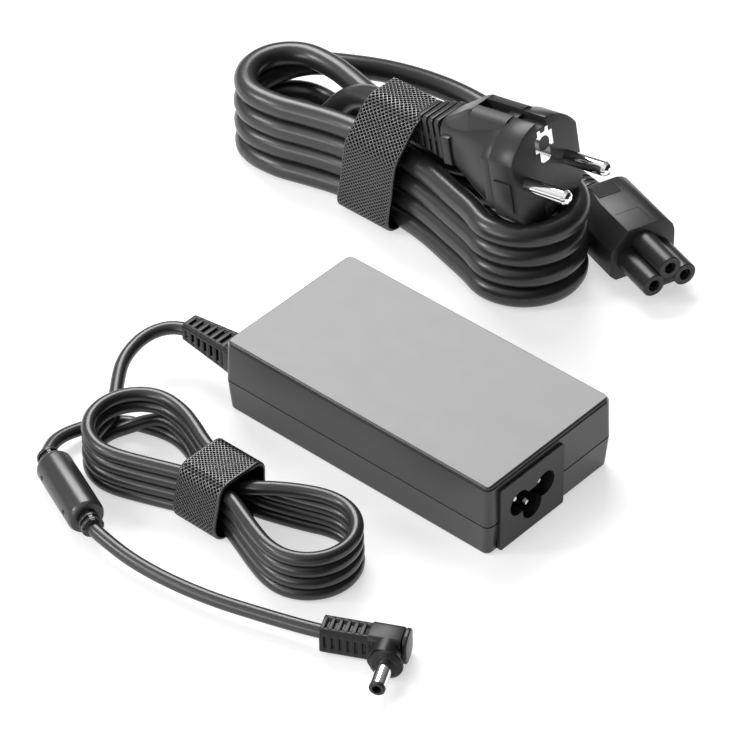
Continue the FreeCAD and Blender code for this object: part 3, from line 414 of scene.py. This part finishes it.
def dc_route():
    """The low-voltage lead: boot, four turns of the hank, ferrite, plug."""
    route = list(DC_LEAD_IN)
    for index, (left, right, after) in enumerate(DC_TURNS):
        grow = RNG.uniform(-0.25, 0.25)
        low, high, out = dc_level(left), dc_level(right), dc_level(after)
        if index == 0:
            eye = around(DC_LEFT, DC_LEFT_EYE, 195, 262, 4)
            route += [(x, y, low) for x, y in eye]
        else:
            before = dc_level(DC_TURNS[index - 1][2])
            eye = around(DC_LEFT, DC_LEFT_EYE + grow, 100, 262, 8)
            for step, (x, y) in enumerate(eye):
                drop = ease(step, 0, 2)
                route.append((x, y, before + (low - before) * drop))
        side = RNG.uniform(-0.2, 0.2)
        route += [(x, y + side, high) for x, y in DC_NEAR]
        route += [(x, y, high) for x, y in around(DC_RIGHT, DC_RIGHT_EYE + grow, -105, 107, 9)]
        crossing = after - left < 0
        side = RNG.uniform(-0.2, 0.2)
        for x, y in DC_FAR:
            inward = DC_SWING * ease(x, 2, -10) * (1 - ease(x, -26, -40)) if crossing else 0.0
            rise = ease(x, -6, -32) if crossing else ease(x, -8, -30)
            route.append((x, y + side - inward, high + (out - high) * rise))
    route += [(-55.5, -50.4, dc_level(1))]
    route += DC_TO_FERRITE
    route += FERRITE_ENDS
    route += DC_TO_PLUG
    return route


# the mains lead, set out in the same way
MAINS_DIAMETER, MAINS_PITCH = 7.8, 7.84
MAINS_LEFT, MAINS_RIGHT = (-126.4, 82.0), (-27.0, 81.3)
MAINS_LEFT_EYE, MAINS_RIGHT_EYE = 14.5, 16.8
MAINS_NEAR = ((-36.0, 67.3), (-47.5, 70.3), (-58.0, 73.2), (-68.0, 74.8), (-79.0, 75.4), (-90.0, 75.2),
              (-98.0, 74.1), (-105.0, 72.4), (-112.0, 70.4), (-118.5, 68.3))
MAINS_FAR = ((-118.5, 95.9), (-110.2, 94.1), (-102.5, 92.1), (-95.0, 90.6), (-88.0, 89.9), (-77.0, 89.6),
             (-65.0, 90.5), (-58.0, 91.6), (-51.0, 93.2), (-44.0, 94.9), (-37.0, 96.6))
MAINS_FROM_RELIEF = ((-64.9, 81.5, 39.3), (-75.8, 81.7, 37.6), (-86.0, 83.0, 36.9), (-96.0, 84.5, 34.2),
                     (-104.5, 85.2, 28.2), (-111.0, 83.5, 19.5), (-117.0, 78.5, 11.0), (-121.5, 72.5, 5.5))
MAINS_TO_CONNECTOR = ((-138.8, 90.5, 20.3), (-135.0, 99.0, 20.4), (-127.5, 106.5, 19.5),
                      (-112.0, 120.5, 15.5), (-91.0, 129.5, 11.0), (-65.0, 127.8, 8.6),
                      (-39.4, 119.3, 8.4), (-31.0, 117.0, 8.4))
# level at the left eye, after the far side's left part, and round the right eye
MAINS_TURNS = ((1, 1, 1), (1, 2, 2), (2, 3, 4), (4, 4, 3))


def mains_level(level):
    """Height of the cord's middle in one layer of the hank, counted from the floor."""
    return MAINS_DIAMETER / 2 + MAINS_PITCH * (level - 1) + 0.03


def mains_route():
    """The mains lead: plug, down into the left eye, four turns, out behind to the connector."""
    route = list(MAINS_FROM_RELIEF)
    for index, (left, far, right) in enumerate(MAINS_TURNS):
        low, middle, high = mains_level(left), mains_level(far), mains_level(right)
        grow = RNG.uniform(-0.35, 0.35)
        if index == 0:
            route += [(x, y, low) for x, y in around(MAINS_LEFT, MAINS_LEFT_EYE, 255, 98, 8)]
        else:
            route += [(x, y, low) for x, y in around(MAINS_LEFT, MAINS_LEFT_EYE + grow, 262, 98, 8)]
        side = RNG.uniform(-0.3, 0.3)
        for x, y in MAINS_FAR:
            height = low + (middle - low) * ease(x, -122, -98)
            height += (high - middle) * ease(x, -61, -45)
            outward = 0.0
            if high < middle:
                outward = MAINS_SWING * ease(x, -72, -58) * (1 - ease(x, -46, -30))
            route.append((x, y + side + outward, height))
        route += [(x, y, high) for x, y in around(MAINS_RIGHT, MAINS_RIGHT_EYE + grow, 80, -98, 9)]
        side = RNG.uniform(-0.3, 0.3)
        route += [(x, y + side, high) for x, y in MAINS_NEAR]
    route += [(x, y, mains_level(3)) for x, y in around(MAINS_LEFT, MAINS_LEFT_EYE, 262, 183, 4)]
    route += MAINS_TO_CONNECTOR
    return route


dc_cord = cord_curve("low_voltage_cord", dc_route(), DC_DIAMETER)
dress(dc_cord, "cord", BRICK, "dc_cord_lead_in", "dc_cord_hank", "dc_cord_to_ferrite",
      "dc_cord_in_ferrite", "dc_cord_to_plug")
mains_cord = cord_curve("mains_cord", mains_route(), MAINS_DIAMETER)
dress(mains_cord, "cord", LEAD, "mains_cord_hank", "mains_cord_to_plug", "mains_cord_to_connector")

# Straps -----------------------------------------------------------------------------------------

CORNER_STEPS = 8


def tape_path(corners, spacing, closed):
    """Points and outward normals, evenly spaced, along an outline of (y, z, corner radius)."""
    points = []
    count = len(corners)
    for i, (y, z, radius) in enumerate(corners):
        corner = Vector((y, z))
        if not closed and i in (0, count - 1):
            points.append(corner)
            continue
        back = (Vector(corners[i - 1][:2]) - corner).normalized()
        ahead = (Vector(corners[(i + 1) % count][:2]) - corner).normalized()
        half = back.angle(ahead) / 2
        centre = corner + (back + ahead).normalized() * (radius / math.sin(half))
        start = corner + back * (radius / math.tan(half)) - centre
        sweep = math.pi - 2 * half
        turn = 1 if back.x * ahead.y - back.y * ahead.x < 0 else -1
        for step in range(CORNER_STEPS + 1):
            a = turn * sweep * step / CORNER_STEPS
            points.append(centre + Vector((start.x * math.cos(a) - start.y * math.sin(a),
                                           start.x * math.sin(a) + start.y * math.cos(a))))
    if closed:
        points.append(points[0])
    lengths = [0.0]
    for here, there in zip(points, points[1:]):
        lengths.append(lengths[-1] + (there - here).length)
    total = lengths[-1]
    samples = int(total / spacing)
    even = []
    k = 0
    for i in range(samples + (0 if closed else 1)):
        s = total * i / samples
        while k < len(lengths) - 2 and lengths[k + 1] < s:
            k += 1
        t = (s - lengths[k]) / max(1e-9, lengths[k + 1] - lengths[k])
        even.append(points[k].lerp(points[k + 1], t))
    result = []
    for i, p in enumerate(even):
        before = even[i - 1] if closed or i > 0 else p
        after = even[(i + 1) % len(even)] if closed or i < len(even) - 1 else p
        along = (after - before).normalized()
        result.append((p, Vector((along.y, -along.x))))
    return result, total


NET_SHARPNESS, SELVEDGE_WIDTH = 2.2, 0.8


def weave(along, across, width, pitch_along, pitch_across):
    """Height, 0 to 1, of a knitted net of slanted threads, with a corded selvedge at each edge."""
    u = along / pitch_along + across / pitch_across
    v = along / pitch_along - across / pitch_across
    net = max(abs(math.cos(math.pi * u)), abs(math.cos(math.pi * v))) ** NET_SHARPNESS
    edge = min(across, width - across)
    selvedge = 0.6 + 0.4 * abs(math.cos(math.pi * along / (pitch_along * 0.5)))
    return net if edge > SELVEDGE_WIDTH else selvedge


STRAP_THICKNESS = 1.5
# the net's mesh is a little shorter than wide; the tape's grid is fine enough to carry it
MESH_RATIO, STEP_ALONG, STEP_ACROSS = 0.86, 0.16, 0.17
EDGE_ROUND, EDGE_DROP, UNDERSIDE_INSET = 0.5, 0.4, 0.15
WANDER, WANDER_RATE = 0.10, 0.35


def strap_piece(name, corners, x_from, x_to, pitch_across, relief, lean=0.0, closed=True):
    """A net-faced tape that follows an outline in Y and Z and is as wide as it reaches along X."""
    width = x_to - x_from
    drift = math.tan(math.radians(lean))
    path, total = tape_path(corners, STEP_ALONG, closed)
    pitch_along = total / round(total / (pitch_across * MESH_RATIO))
    across_count = int(width / STEP_ACROSS)
    vertices = []
    heights = []
    for i, (p, n) in enumerate(path):
        along = total * i / len(path)
        wander = WANDER * math.sin(along * WANDER_RATE)
        for j in range(across_count + 1):
            across = width * j / across_count
            height = weave(along, across, width, pitch_along, pitch_across)
            edge = min(across, width - across)
            sunk = relief * (1 - height) + EDGE_DROP * max(0.0, 1 - edge / EDGE_ROUND) ** 2
            at = p + n * (STRAP_THICKNESS - sunk)
            vertices.append((x_from + across + wander + drift * at.y, at.x, at.y))
            heights.append(height)
        for across in (width - UNDERSIDE_INSET, UNDERSIDE_INSET):
            vertices.append((x_from + across + wander + drift * p.y, p.x, p.y))
            heights.append(0.0)
    count = across_count + 3
    rows = len(path)
    faces = []
    for i in range(rows if closed else rows - 1):
        k = (i + 1) % rows
        for j in range(count):
            m = (j + 1) % count
            faces.append((i * count + j, i * count + m, k * count + m, k * count + j))
    if not closed:
        faces.append(tuple(range(count)))
        faces.append(tuple(range((rows - 1) * count, rows * count)))
    piece = mesh_piece(name, vertices, faces)
    layer = piece.data.attributes.new("thread", "FLOAT", "POINT")
    layer.data.foreach_set("value", heights)
    return piece


DC_STRAP = ((-76.0, 1.6, 4.0), (-55.3, 1.6, 2.6), (-55.3, 18.5, 3.0), (-71.9, 18.5, 3.4))
dc_strap = strap_piece("low_voltage_strap", DC_STRAP, -28.6, -11.6, 1.42, 0.34)
dress(dc_strap, "strap", BRICK, "dc_strap")
MAINS_STRAP = ((87.0, 43.2, 0.0), (75.3, 43.4, 6.5), (66.9, 31.0, 7.0), (66.9, 1.6, 5.0), (93.7, 1.6, 5.0),
               (93.7, 32.6, 3.0), (90.0, 33.4, 0.0))
mains_strap = strap_piece("mains_lead_strap", MAINS_STRAP, -92.5, -71.0, 1.72, 0.40, 8.5, closed=False)
dress(mains_strap, "strap", LEAD, "mains_strap")

# The mains plug ---------------------------------------------------------------------------------

PLUG = standing((-18.0, 81.5, 44.0), 0.0, 10.5)
DISC_RADIUS, DISC_HALF_WIDTH, DISC_DEPTH = 18.2, 15.6, 9.5
NOTCH_HALF_WIDTH, NOTCH_FLOOR = 2.1, 15.5
ARC_STEPS = 12
RELIEF_RISE = 3.9


def disc_outline(radius, half_width, notched):
    """A circle with flat sides, cut by the earth slots at its top and bottom if notched."""
    corner = math.acos(half_width / radius)
    mouth = math.asin(NOTCH_HALF_WIDTH / radius) if notched else 0.0
    upper = []
    for step in range(ARC_STEPS + 1):
        a = corner + (math.pi / 2 - mouth - corner) * step / ARC_STEPS
        upper.append((radius * math.cos(a), radius * math.sin(a)))
    if notched:
        upper.append((NOTCH_HALF_WIDTH, NOTCH_FLOOR))
    else:
        upper.pop()
    left = [(-y, z) for y, z in reversed(upper)]
    top = upper + left
    return top + [(-y, -z) for y, z in top]


# place, half width, half height, squareness and rise of the middle, along the plug's body
PLUG_BODY = ((-9.0, 13.8, 16.6, 2.6, 0.0), (-12.5, 13.6, 16.0, 2.7, 0.0), (-17.0, 13.0, 15.0, 2.7, 0.3),
             (-22.0, 11.6, 13.3, 2.7, 1.0), (-27.0, 9.9, 11.2, 2.8, 2.0), (-32.0, 8.3, 9.2, 3.0, 3.1),
             (-36.6, 7.4, 7.7, 3.4, RELIEF_RISE))
# place, half width and top of the ridge where it runs down the body
RIDGE_CREST = ((-23.5, 7.4, 18.3), (-25.6, 7.3, 17.6), (-30.6, 6.9, 14.6), (-36.2, 6.2, 11.6))


def crest_outline(half, top):
    """The ridge's section in Y and Z: a flat top with stepped shoulders."""
    right = ((half + 0.5, top - 7.3), (half, top - 3.3), (half - 0.6, top - 1.4), (half - 2.4, top))
    left = [(-y, z) for y, z in reversed(right)]
    return [left[-1], *right, *left[:-1]]


def mains_plug():
    """A notched disc on a body that tapers back to the relief, with a ridge over the earth slot."""
    form = Form()
    form.prism(disc_outline(DISC_RADIUS, DISC_HALF_WIDTH, True), -DISC_DEPTH, 0.0, 0.35)
    form.prism(disc_outline(16.9, 14.7, False), -13.6, -9.0, 0.3)
    form.skin([[(x, y, z) for y, z in bulging(w, h, power, rise)] for x, w, h, power, rise in PLUG_BODY])
    # the ridge over the earth slot, open towards the face
    for side in (-1, 1):
        wall = ((side * NOTCH_HALF_WIDTH, 11.0), (side * NOTCH_HALF_WIDTH, 18.3), (side * 5.0, 18.1),
                (side * 6.8, 16.9), (side * 7.4, 15.0), (side * 7.9, 11.0))
        form.prism(wall, -23.6, -9.0)
    form.prism(((-2.3, 11.0), (2.3, 11.0), (2.3, 15.5), (-2.3, 15.5)), -23.6, -8.8)
    form.skin([[(x, y, z) for y, z in crest_outline(half, top)] for x, half, top in RIDGE_CREST])
    # keys on the flat sides
    for side in (-1, 1):
        near, far = sorted((side * 15.3, side * 16.3))
        form.box(-8.2, -1.3, near, far, -7.4, 2.9, 0.25)
        near, far = sorted((side * 6.5, side * 9.3))
        form.box(-35.2, -31.6, near, far, -2.4, 7.6, 0.5)
    plug = form.finish("mains_plug_shell", PLUG)
    dress(plug, "moulding", LEAD, "mains_plug_body", "mains_plug_insert", material="plug")


RELIEF_ROOT, RELIEF_TIP = -36.4, -53.0
RELIEF_HOOPS, RELIEF_PITCH, RELIEF_HOOP_WIDTH, RAIL_HALF_HEIGHT = 6, 2.95, 1.75, 0.9


def ribbed_relief():
    """Square hoops round a square core, joined by a rail on each side."""
    form = Form()
    middle = (0.0, RELIEF_RISE)

    def half(x, root, tip):
        return root + (tip - root) * (x - RELIEF_ROOT) / (RELIEF_TIP - RELIEF_ROOT)

    core = [(x, rounded_box(half(x, 6.0, 4.0), half(x, 6.2, 4.2), 1.6, middle))
            for x in (RELIEF_ROOT, RELIEF_TIP)]
    form.skin([[(x, y, z) for y, z in ring] for x, ring in core])
    for i in range(RELIEF_HOOPS):
        x = RELIEF_ROOT - 0.9 - RELIEF_PITCH * i
        hoop = rounded_box(half(x, 7.2, 4.9), half(x, 7.4, 5.1), 1.5, middle)
        form.prism(hoop, x - RELIEF_HOOP_WIDTH, x, 0.2)
    low, high = RELIEF_RISE - RAIL_HALF_HEIGHT, RELIEF_RISE + RAIL_HALF_HEIGHT
    for side in (-1, 1):
        rail = []
        for x in (RELIEF_ROOT, RELIEF_TIP + 0.5):
            inner, outer = side * half(x, 5.0, 3.0), side * half(x, 7.0, 4.8)
            rail.append([(x, inner, low), (x, outer, low), (x, outer, high), (x, inner, high)])
        form.skin(rail)
    relief = form.finish("mains_plug_ribs", PLUG)
    dress(relief, "moulding", LEAD, "mains_plug_relief", material="plug")


SOCKET_RADIUS, SOCKET_LEVEL, SOCKET_SIDES = 2.45, 10.0, 32
# the right half of the earth plate's cross, from its top down
EARTH_PLATE = ((0.0, 13.8), (0.9, 13.8), (1.3, 15.0), (2.5, 15.0), (2.5, 13.2), (4.1, 13.0), (4.1, 8.0),
               (2.3, 7.7), (2.3, 4.4), (1.3, 3.6), (0.0, 3.6))


def earth_plate():
    """The bright cross on the plug's face with its socket tube, and the strip in the top slot."""
    angles = [2 * math.pi * i / SOCKET_SIDES for i in range(SOCKET_SIDES)]
    hole = [(SOCKET_RADIUS * math.cos(a), SOCKET_LEVEL + SOCKET_RADIUS * math.sin(a)) for a in angles]
    outline = list(EARTH_PLATE) + [(-y, z) for y, z in reversed(EARTH_PLATE[1:-1])]
    form = Form()
    form.plate(outline, hole, -0.4, 0.12)
    tube = ((SOCKET_RADIUS, -16.5), (2.9, -16.5), (2.9, -0.3), (SOCKET_RADIUS, -0.3))
    form.turned(tube, (0.0, SOCKET_LEVEL), SOCKET_SIDES)
    form.box(-23.4, -0.2, -1.9, 1.9, 15.0, 15.45, 0.1)
    plate = form.finish("earth_plate", PLUG)
    dress(plate, "plated_metal", LEAD, "mains_earth_clip_top")
    bore = Form()
    lining = ((2.1, -16.4), (2.44, -16.4), (2.44, -0.35), (2.1, -0.35))
    bore.turned(lining, (0.0, SOCKET_LEVEL), SOCKET_SIDES)
    dress(bore.finish("earth_socket_bore", PLUG), "moulding", LEAD, material="inlet")


mains_plug()
ribbed_relief()
earth_plate()

# The three-way connector ------------------------------------------------------------------------

CONNECTOR = standing((16.2, 100.7, 0.0), -19.0)
NOSE_LENGTH, NOSE_RADIUS, BODY_END, BODY_TOP = 15.8, 3.9, 42.0, 18.2
LOBE_SIDE, LOBE_RISE = 5.7, 4.8
CONTACT_LEVEL, CORD_LEVEL = 7.5, 8.4
# place, half width, half height, squareness and middle of the grip where it narrows to the cord
GRIP_END = ((-41.5, 8.6, 8.2, 3.4, 8.9), (-43.5, 8.2, 7.3, 2.8, 8.7), (-46.1, 6.6, 6.2, 2.4, 8.4))
# extent along X and Y, and depth, of the marks on the flat top: finger recess (a patch of painted shade),
# label edge, parting line
TOP_MARKS = ((-40.6, -34.6, -4.6, 3.6, 0.3), (-25.1, -24.9, -4.9, 3.9, 0.2),
             (-24.9, -17.6, 3.7, 3.9, 0.2), (-40.0, -26.4, 4.6, 4.75, 0.2))


def connector_outline():
    """Flat top and floor, a straight chamfer on the near side and a rolled one on the far side."""
    low, side, roll, roll_steps = 0.3, 11.8, 6.4, 5
    outline = [(-side, 2.6), (-9.6, low), (9.6, low), (side, 2.6), (side, 11.6)]
    for step in range(roll_steps):
        a = math.pi / 2 * (step + 0.5) / roll_steps
        outline.append((side - roll + roll * math.cos(a), BODY_TOP - roll + roll * math.sin(a)))
    outline += [(5.0, BODY_TOP), (-5.6, BODY_TOP), (-side, 11.9)]
    return outline


def connector_body():
    """The moulded body, the three barrels of its nose with the webs between them, and the grip's end."""
    form = Form()
    full = connector_outline()
    back = [(y if y > 0 else 0.74 * y, z) for y, z in full]
    rings = ((-BODY_END, back), (-33.0, full), (-NOSE_LENGTH, full))
    form.skin([[(x, y, z) for y, z in ring] for x, ring in rings], 0.35)
    root, depth = -NOSE_LENGTH - 0.4, -12.4
    barrel = ((1.95, depth), (1.95, -0.15), (2.1, 0.0), (3.65, 0.0), (NOSE_RADIUS, -0.25),
              (NOSE_RADIUS, root), (AXIS, root), (AXIS, depth))
    for y, rise in ((-LOBE_SIDE, 0.0), (LOBE_SIDE, 0.0), (0.0, LOBE_RISE)):
        form.turned(barrel, (y, CONTACT_LEVEL + rise), 44)
    form.box(root + 0.1, -0.4, -3.3, 3.3, CONTACT_LEVEL - 1.5, CONTACT_LEVEL + 1.5, 0.0)
    form.box(root + 0.1, -0.4, -2.9, 2.9, CONTACT_LEVEL, CONTACT_LEVEL + LOBE_RISE - 2.1, 0.0)
    form.skin([[(x, y, z) for y, z in bulging(w, h, power, middle)] for x, w, h, power, middle in GRIP_END])
    shell = form.finish("connector_shell", CONNECTOR)
    return dress(shell, "moulding", LEAD, "connector_body", material="plug")


def connector_marks():
    """Near-black marks on the flat top: painted shade in the finger recess and dark joint lines at the
    label edge and parting line; and the ribs of the finger recess.
    """
    marks = Form()
    for x_from, x_to, y_from, y_to, depth in TOP_MARKS:
        low, high = BODY_TOP - depth, BODY_TOP + 0.03
        marks.prism(((y_from, low), (y_to, low), (y_to, high), (y_from, high)), x_from, x_to)
    marks = dress(marks.finish("connector_marks", CONNECTOR), "moulding", LEAD, material="dark")
    ribs = Form()
    for i in range(7):
        x = -40.3 + 0.8 * i
        ribs.box(x, x + 0.4, -4.2, 3.2, BODY_TOP - 0.1, BODY_TOP + 0.10, 0.05, 1)
    ribs = dress(ribs.finish("connector_ribs", CONNECTOR), "moulding", LEAD)
    return [marks, ribs]


def connector_relief():
    """A cone with four raised rings that grow towards the body."""
    relief = Form()
    centre = (0.0, CORD_LEVEL)
    relief.turned(((AXIS, -58.6), (4.3, -58.6), (5.6, -46.0), (AXIS, -46.0)), centre)
    for i in range(4):
        x = -57.4 + 2.9 * i
        grow = 0.3 * i
        ring = ((3.9, x), (4.8 + grow, x), (4.9 + grow, x + 1.7), (3.9, x + 1.7))
        relief.turned(ring, centre, bevel=0.15)
    relief = relief.finish("connector_ribbed_relief", CONNECTOR)
    return dress(relief, "moulding", LEAD, "connector_relief", material="plug")


connector_pieces = [connector_body(), *connector_marks(), connector_relief()]

# The barrel plug --------------------------------------------------------------------------------

JACK = standing((58.7, -77.4, 5.4), 27.0)
# middle of the boot and housing in Z, and the boot's ends and hoops
JACK_MIDDLE, JACK_BOOT_TIP, JACK_BOOT_ROOT = -0.2, -20.6, -5.5
JACK_HOOPS, JACK_HOOP_PITCH, JACK_HOOP_WIDTH = 7, 2.28, 1.35


def barrel_boot():
    """Square hoops on a square core, joined along their four corners."""
    form = Form()
    middle = (0.0, JACK_MIDDLE)
    form.prism(rounded_box(3.25, 3.7, 1.4, middle), JACK_BOOT_TIP, JACK_BOOT_ROOT, 0.2)
    for i in range(JACK_HOOPS):
        x = JACK_BOOT_TIP - 0.1 + JACK_HOOP_PITCH * i
        form.prism(rounded_box(3.95, 4.45, 1.7, middle), x, x + JACK_HOOP_WIDTH, 0.28, 3)
    rod = ((AXIS, JACK_BOOT_TIP + 0.2), (1.45, JACK_BOOT_TIP + 0.2), (1.45, -5.6), (AXIS, -5.6))
    for side in (-1, 1):
        for rise in (-1, 1):
            form.turned(rod, (side * 2.45, JACK_MIDDLE + rise * 2.95), 20)
    return dress(form.finish("barrel_plug_boot", JACK), "moulding", BRICK, "dc_plug_boot")


def barrel_body():
    """The housing, the round elbow across it, the ringed collar round the barrel and a gusset."""
    form = Form()
    form.prism(rounded_box(4.1, 4.7, 1.7, (0.25, -0.15), 6), -6.6, 2.9, 0.3)
    elbow = ((AXIS, 3.6), (3.4, 3.6), (4.5, 2.6), (4.65, -7.4), (AXIS, -7.4))
    form.turned(elbow, (-1.2, 0.0), 44, "Y")
    collar = ((AXIS, -7.2), (4.35, -7.2), (4.35, -7.6), (4.95, -7.7), (5.05, -8.0), (4.9, -8.6),
              (3.9, -9.1), (3.7, -9.0), (3.5, -9.1), (3.2, -9.0), (2.95, -9.1), (2.45, -9.1),
              (2.4, -8.6), (AXIS, -8.6))
    form.turned(collar, (0.0, 0.0), 48, "Y")
    gusset = ((-0.5, -6.8), (2.8, -3.2), (2.8, 2.0), (-0.5, 2.0))
    form.skin([[(x, y, z) for x, y in gusset] for z in (-3.6, 3.2)], 0.3)
    return dress(form.finish("barrel_plug_body", JACK), "moulding", BRICK, "dc_plug_body")


def barrel_cap():
    """The rounded cap that closes the housing's far end."""
    form = Form()
    form.prism(rounded_box(4.1, 5.0, 3.0, (0.65, -0.15), 7), 3.1, 4.6, 0.45, 3)
    cap = form.finish("barrel_plug_cap", JACK)
    return dress(cap, "moulding", BRICK, "dc_plug_end_cap", material="plug")


barrel_pieces = [barrel_boot(), barrel_body(), barrel_cap()]

# The brick's cable boot and the ferrite ---------------------------------------------------------

BOOT_ROOT, BOOT_TIP, EXIT_SIDE, EXIT_LEVEL = -52.33, -75.6, -19.0, 13.1
BOOT_HOOPS, BOOT_PITCH, BOOT_HOOP_WIDTH, BOOT_CORNER = 7, 2.75, 1.5, 1.3
COLLAR_END, COLLAR_TAPER = -57.4, 0.93
CORNER_RADIUS, CORNER_SIDES = 1.24, 24


def cable_boot():
    """Square hoops that shrink towards the tip, joined along their corners."""
    form = Form()

    def half(x, root, tip):
        return tip + (root - tip) * (x - BOOT_TIP) / (BOOT_ROOT - BOOT_TIP)

    core = [(x, rounded_box(half(x, 4.1, 2.6), half(x, 3.9, 2.5), 1.2)) for x in (BOOT_TIP, BOOT_ROOT)]
    form.skin([[(x, y, z) for y, z in ring] for x, ring in core])
    collar = rounded_box(5.15, 4.95, 1.4)
    ends = ((COLLAR_END, COLLAR_TAPER), (BOOT_ROOT, 1.0))
    form.skin([[(x, y * shrink, z * shrink) for y, z in collar] for x, shrink in ends], 0.25)
    for i in range(BOOT_HOOPS):
        x = BOOT_TIP + BOOT_PITCH * i
        hoop = rounded_box(half(x, 5.15, 3.45), half(x, 4.95, 3.35), BOOT_CORNER)
        form.prism(hoop, x, x + BOOT_HOOP_WIDTH, 0.18)
    angles = [2 * math.pi * i / CORNER_SIDES for i in range(CORNER_SIDES)]
    circle = [(CORNER_RADIUS * math.cos(a), CORNER_RADIUS * math.sin(a)) for a in angles]
    for side in (-1, 1):
        for rise in (-1, 1):
            rail = []
            for x in (BOOT_TIP + 0.2, BOOT_ROOT):
                y = side * (half(x, 5.15, 3.45) - BOOT_CORNER)
                z = rise * (half(x, 4.95, 3.35) - BOOT_CORNER)
                rail.append([(x, y + across, z + up) for across, up in circle])
            form.skin(rail)
    boot = form.finish("slotted_cable_boot", Matrix.Translation((0.0, EXIT_SIDE, EXIT_LEVEL)))
    dress(boot, "moulding", BRICK, "cable_boot")


FERRITE = standing((-56.0, -91.0, 5.7), -23.0)
# radius and distance from the middle along half of the sleeve
SLEEVE_END = ((5.7, 11.8), (5.65, 12.3), (5.2, 13.2), (4.3, 13.5), (AXIS, 13.5))


def ferrite():
    """A round sleeve with soft shoulders and cross-ribbed necks, and two small near-black discs that paint
    the shade of its moulding holes.
    """
    form = Form()
    form.turned([(r, -d) for r, d in reversed(SLEEVE_END)] + list(SLEEVE_END), sides=56)
    for way in (-1, 1):
        near, far = sorted((way * 13.3, way * 18.4))
        form.turned(((AXIS, near), (2.75, near), (2.75, far), (AXIS, far)), sides=36)
        for start in (14.6, 16.7):
            near, far = sorted((way * start, way * (start + 1.1)))
            form.turned(((2.3, near), (3.5, near), (3.5, far), (2.3, far)), sides=36, bevel=0.15)
        near, far = sorted((way * 13.4, way * 18.2))
        form.box(near, far, -0.6, 0.6, -3.3, 3.3, 0.1, 1)
        form.box(near, far, -3.3, 3.3, -0.6, 0.6, 0.1, 1)
    sleeve = form.finish("ferrite_sleeve", FERRITE)
    dress(sleeve, "moulding", BRICK, "ferrite_cover", material="cord")
    # the moulding holes are thin near-black discs on the sleeve: painted shade, not cut holes
    hole_shade_discs = Form()
    for x in (-8.4, 8.4):
        hole_shade_discs.turned(((AXIS, -5.72), (0.75, -5.72), (0.75, -5.2), (AXIS, -5.2)), (x, 0.6), 20, "Y")
    hole_shade_discs = dress(hole_shade_discs.finish("ferrite_hole_shade_discs", FERRITE), "moulding", BRICK, material="dark")
    return [sleeve, hole_shade_discs]


cable_boot()
ferrite_pieces = ferrite()

# CAD nodes keep their shapes and get their finishes ---------------------------------------------

SLOT_OF = {part["node"]: part["material_slot"] for part in frame["record"]["subparts"]}
# the contacts deep in the connector's barrels and the barrel plug's centre contact take the near-black
# finish: painted shade
FINISH = {"mains_plug_body": "plug", "connector_body": "plug", "mains_plug_relief": "plug",
          "connector_relief": "plug", "dc_barrel_insulator": "inlet", "dc_centre_contact": "dark",
          "connector_contact_line": "dark", "connector_contact_neutral": "dark",
          "connector_contact_earth": "dark"}
for node, thing in frame["nodes"].items():
    thing.data.materials.clear()
    thing.data.materials.append(MATERIAL[FINISH.get(node, SLOT_OF[node])])

# Floor and light --------------------------------------------------------------------------------

FLOOR_HALF_WIDTH, FLOOR_TONE, FLOOR_GLOW, FLOOR_DROP = 3.0, 0.55, 0.56, 0.00002


def add_floor():
    """A wide white sheet with a soft glow of its own, which keeps the ground pure white."""
    material, tree, shader = new_material("floor_white")
    shader.inputs["Base Color"].default_value = (FLOOR_TONE, FLOOR_TONE, FLOOR_TONE, 1)
    shader.inputs["Emission Color"].default_value = (1, 1, 1, 1)
    shader.inputs["Emission Strength"].default_value = FLOOR_GLOW
    shader.inputs["Roughness"].default_value = 0.9
    shader.inputs["Specular IOR Level"].default_value = 0.1
    mesh = bpy.data.meshes.new("floor")
    half = FLOOR_HALF_WIDTH
    mesh.from_pydata([(-half, -half, 0), (half, -half, 0), (half, half, 0), (-half, half, 0)], [],
                     [(0, 1, 2, 3)])
    floor = link("floor", mesh)
    floor.location.z = -FLOOR_DROP
    mesh.materials.append(material)


def add_light(name, place, width, depth, power):
    """A soft box that faces the middle of the object."""
    data = bpy.data.lights.new(name, "AREA")
    data.shape = "RECTANGLE"
    data.size, data.size_y = width, depth
    data.energy = power
    lamp = link(name, data)
    lamp.location = place
    lamp.rotation_euler = (-Vector(place)).to_track_quat("-Z", "Y").to_euler()


def add_world():
    """A white studio: brightest overhead, and dimmer towards the horizon, +X and +Y."""
    world = bpy.data.worlds.new("studio")
    bpy.context.scene.world = world
    world.use_nodes = True
    tree = world.node_tree
    background = tree.nodes["Background"]
    background.inputs["Color"].default_value = (1, 1, 1, 1)
    direction = tree.nodes.new("ShaderNodeTexCoord").outputs["Generated"]
    split = tree.nodes.new("ShaderNodeSeparateXYZ")
    tree.links.new(direction, split.inputs["Vector"])
    height = ramp(tree, split.outputs["Z"], 0.30, 1.10, 0.05, 0.95)
    fall = ramp(tree, split.outputs["X"], 0.95, 0.05, -0.15, 0.65)
    front = ramp(tree, split.outputs["Y"], 1.75, 0.45, -0.8, 0.5)
    level = height
    for factor in (fall, front):
        product = tree.nodes.new("ShaderNodeMath")
        product.operation = "MULTIPLY"
        tree.links.new(level, product.inputs[0])
        tree.links.new(factor, product.inputs[1])
        level = product.outputs["Value"]
    tree.links.new(level, background.inputs["Strength"])


add_floor()
add_world()
add_light("key_softbox", (-0.72, -0.85, 0.70), 0.26, 0.26, 5.0)
add_light("back_softbox", (-0.56, 0.40, 0.80), 0.62, 0.44, 10.0)
add_light("front_softbox", (-0.14, -1.15, 0.34), 0.80, 0.36, 4.6)
bpy.context.scene.view_settings.view_transform = "Standard"
bpy.context.scene.view_settings.look = "None"
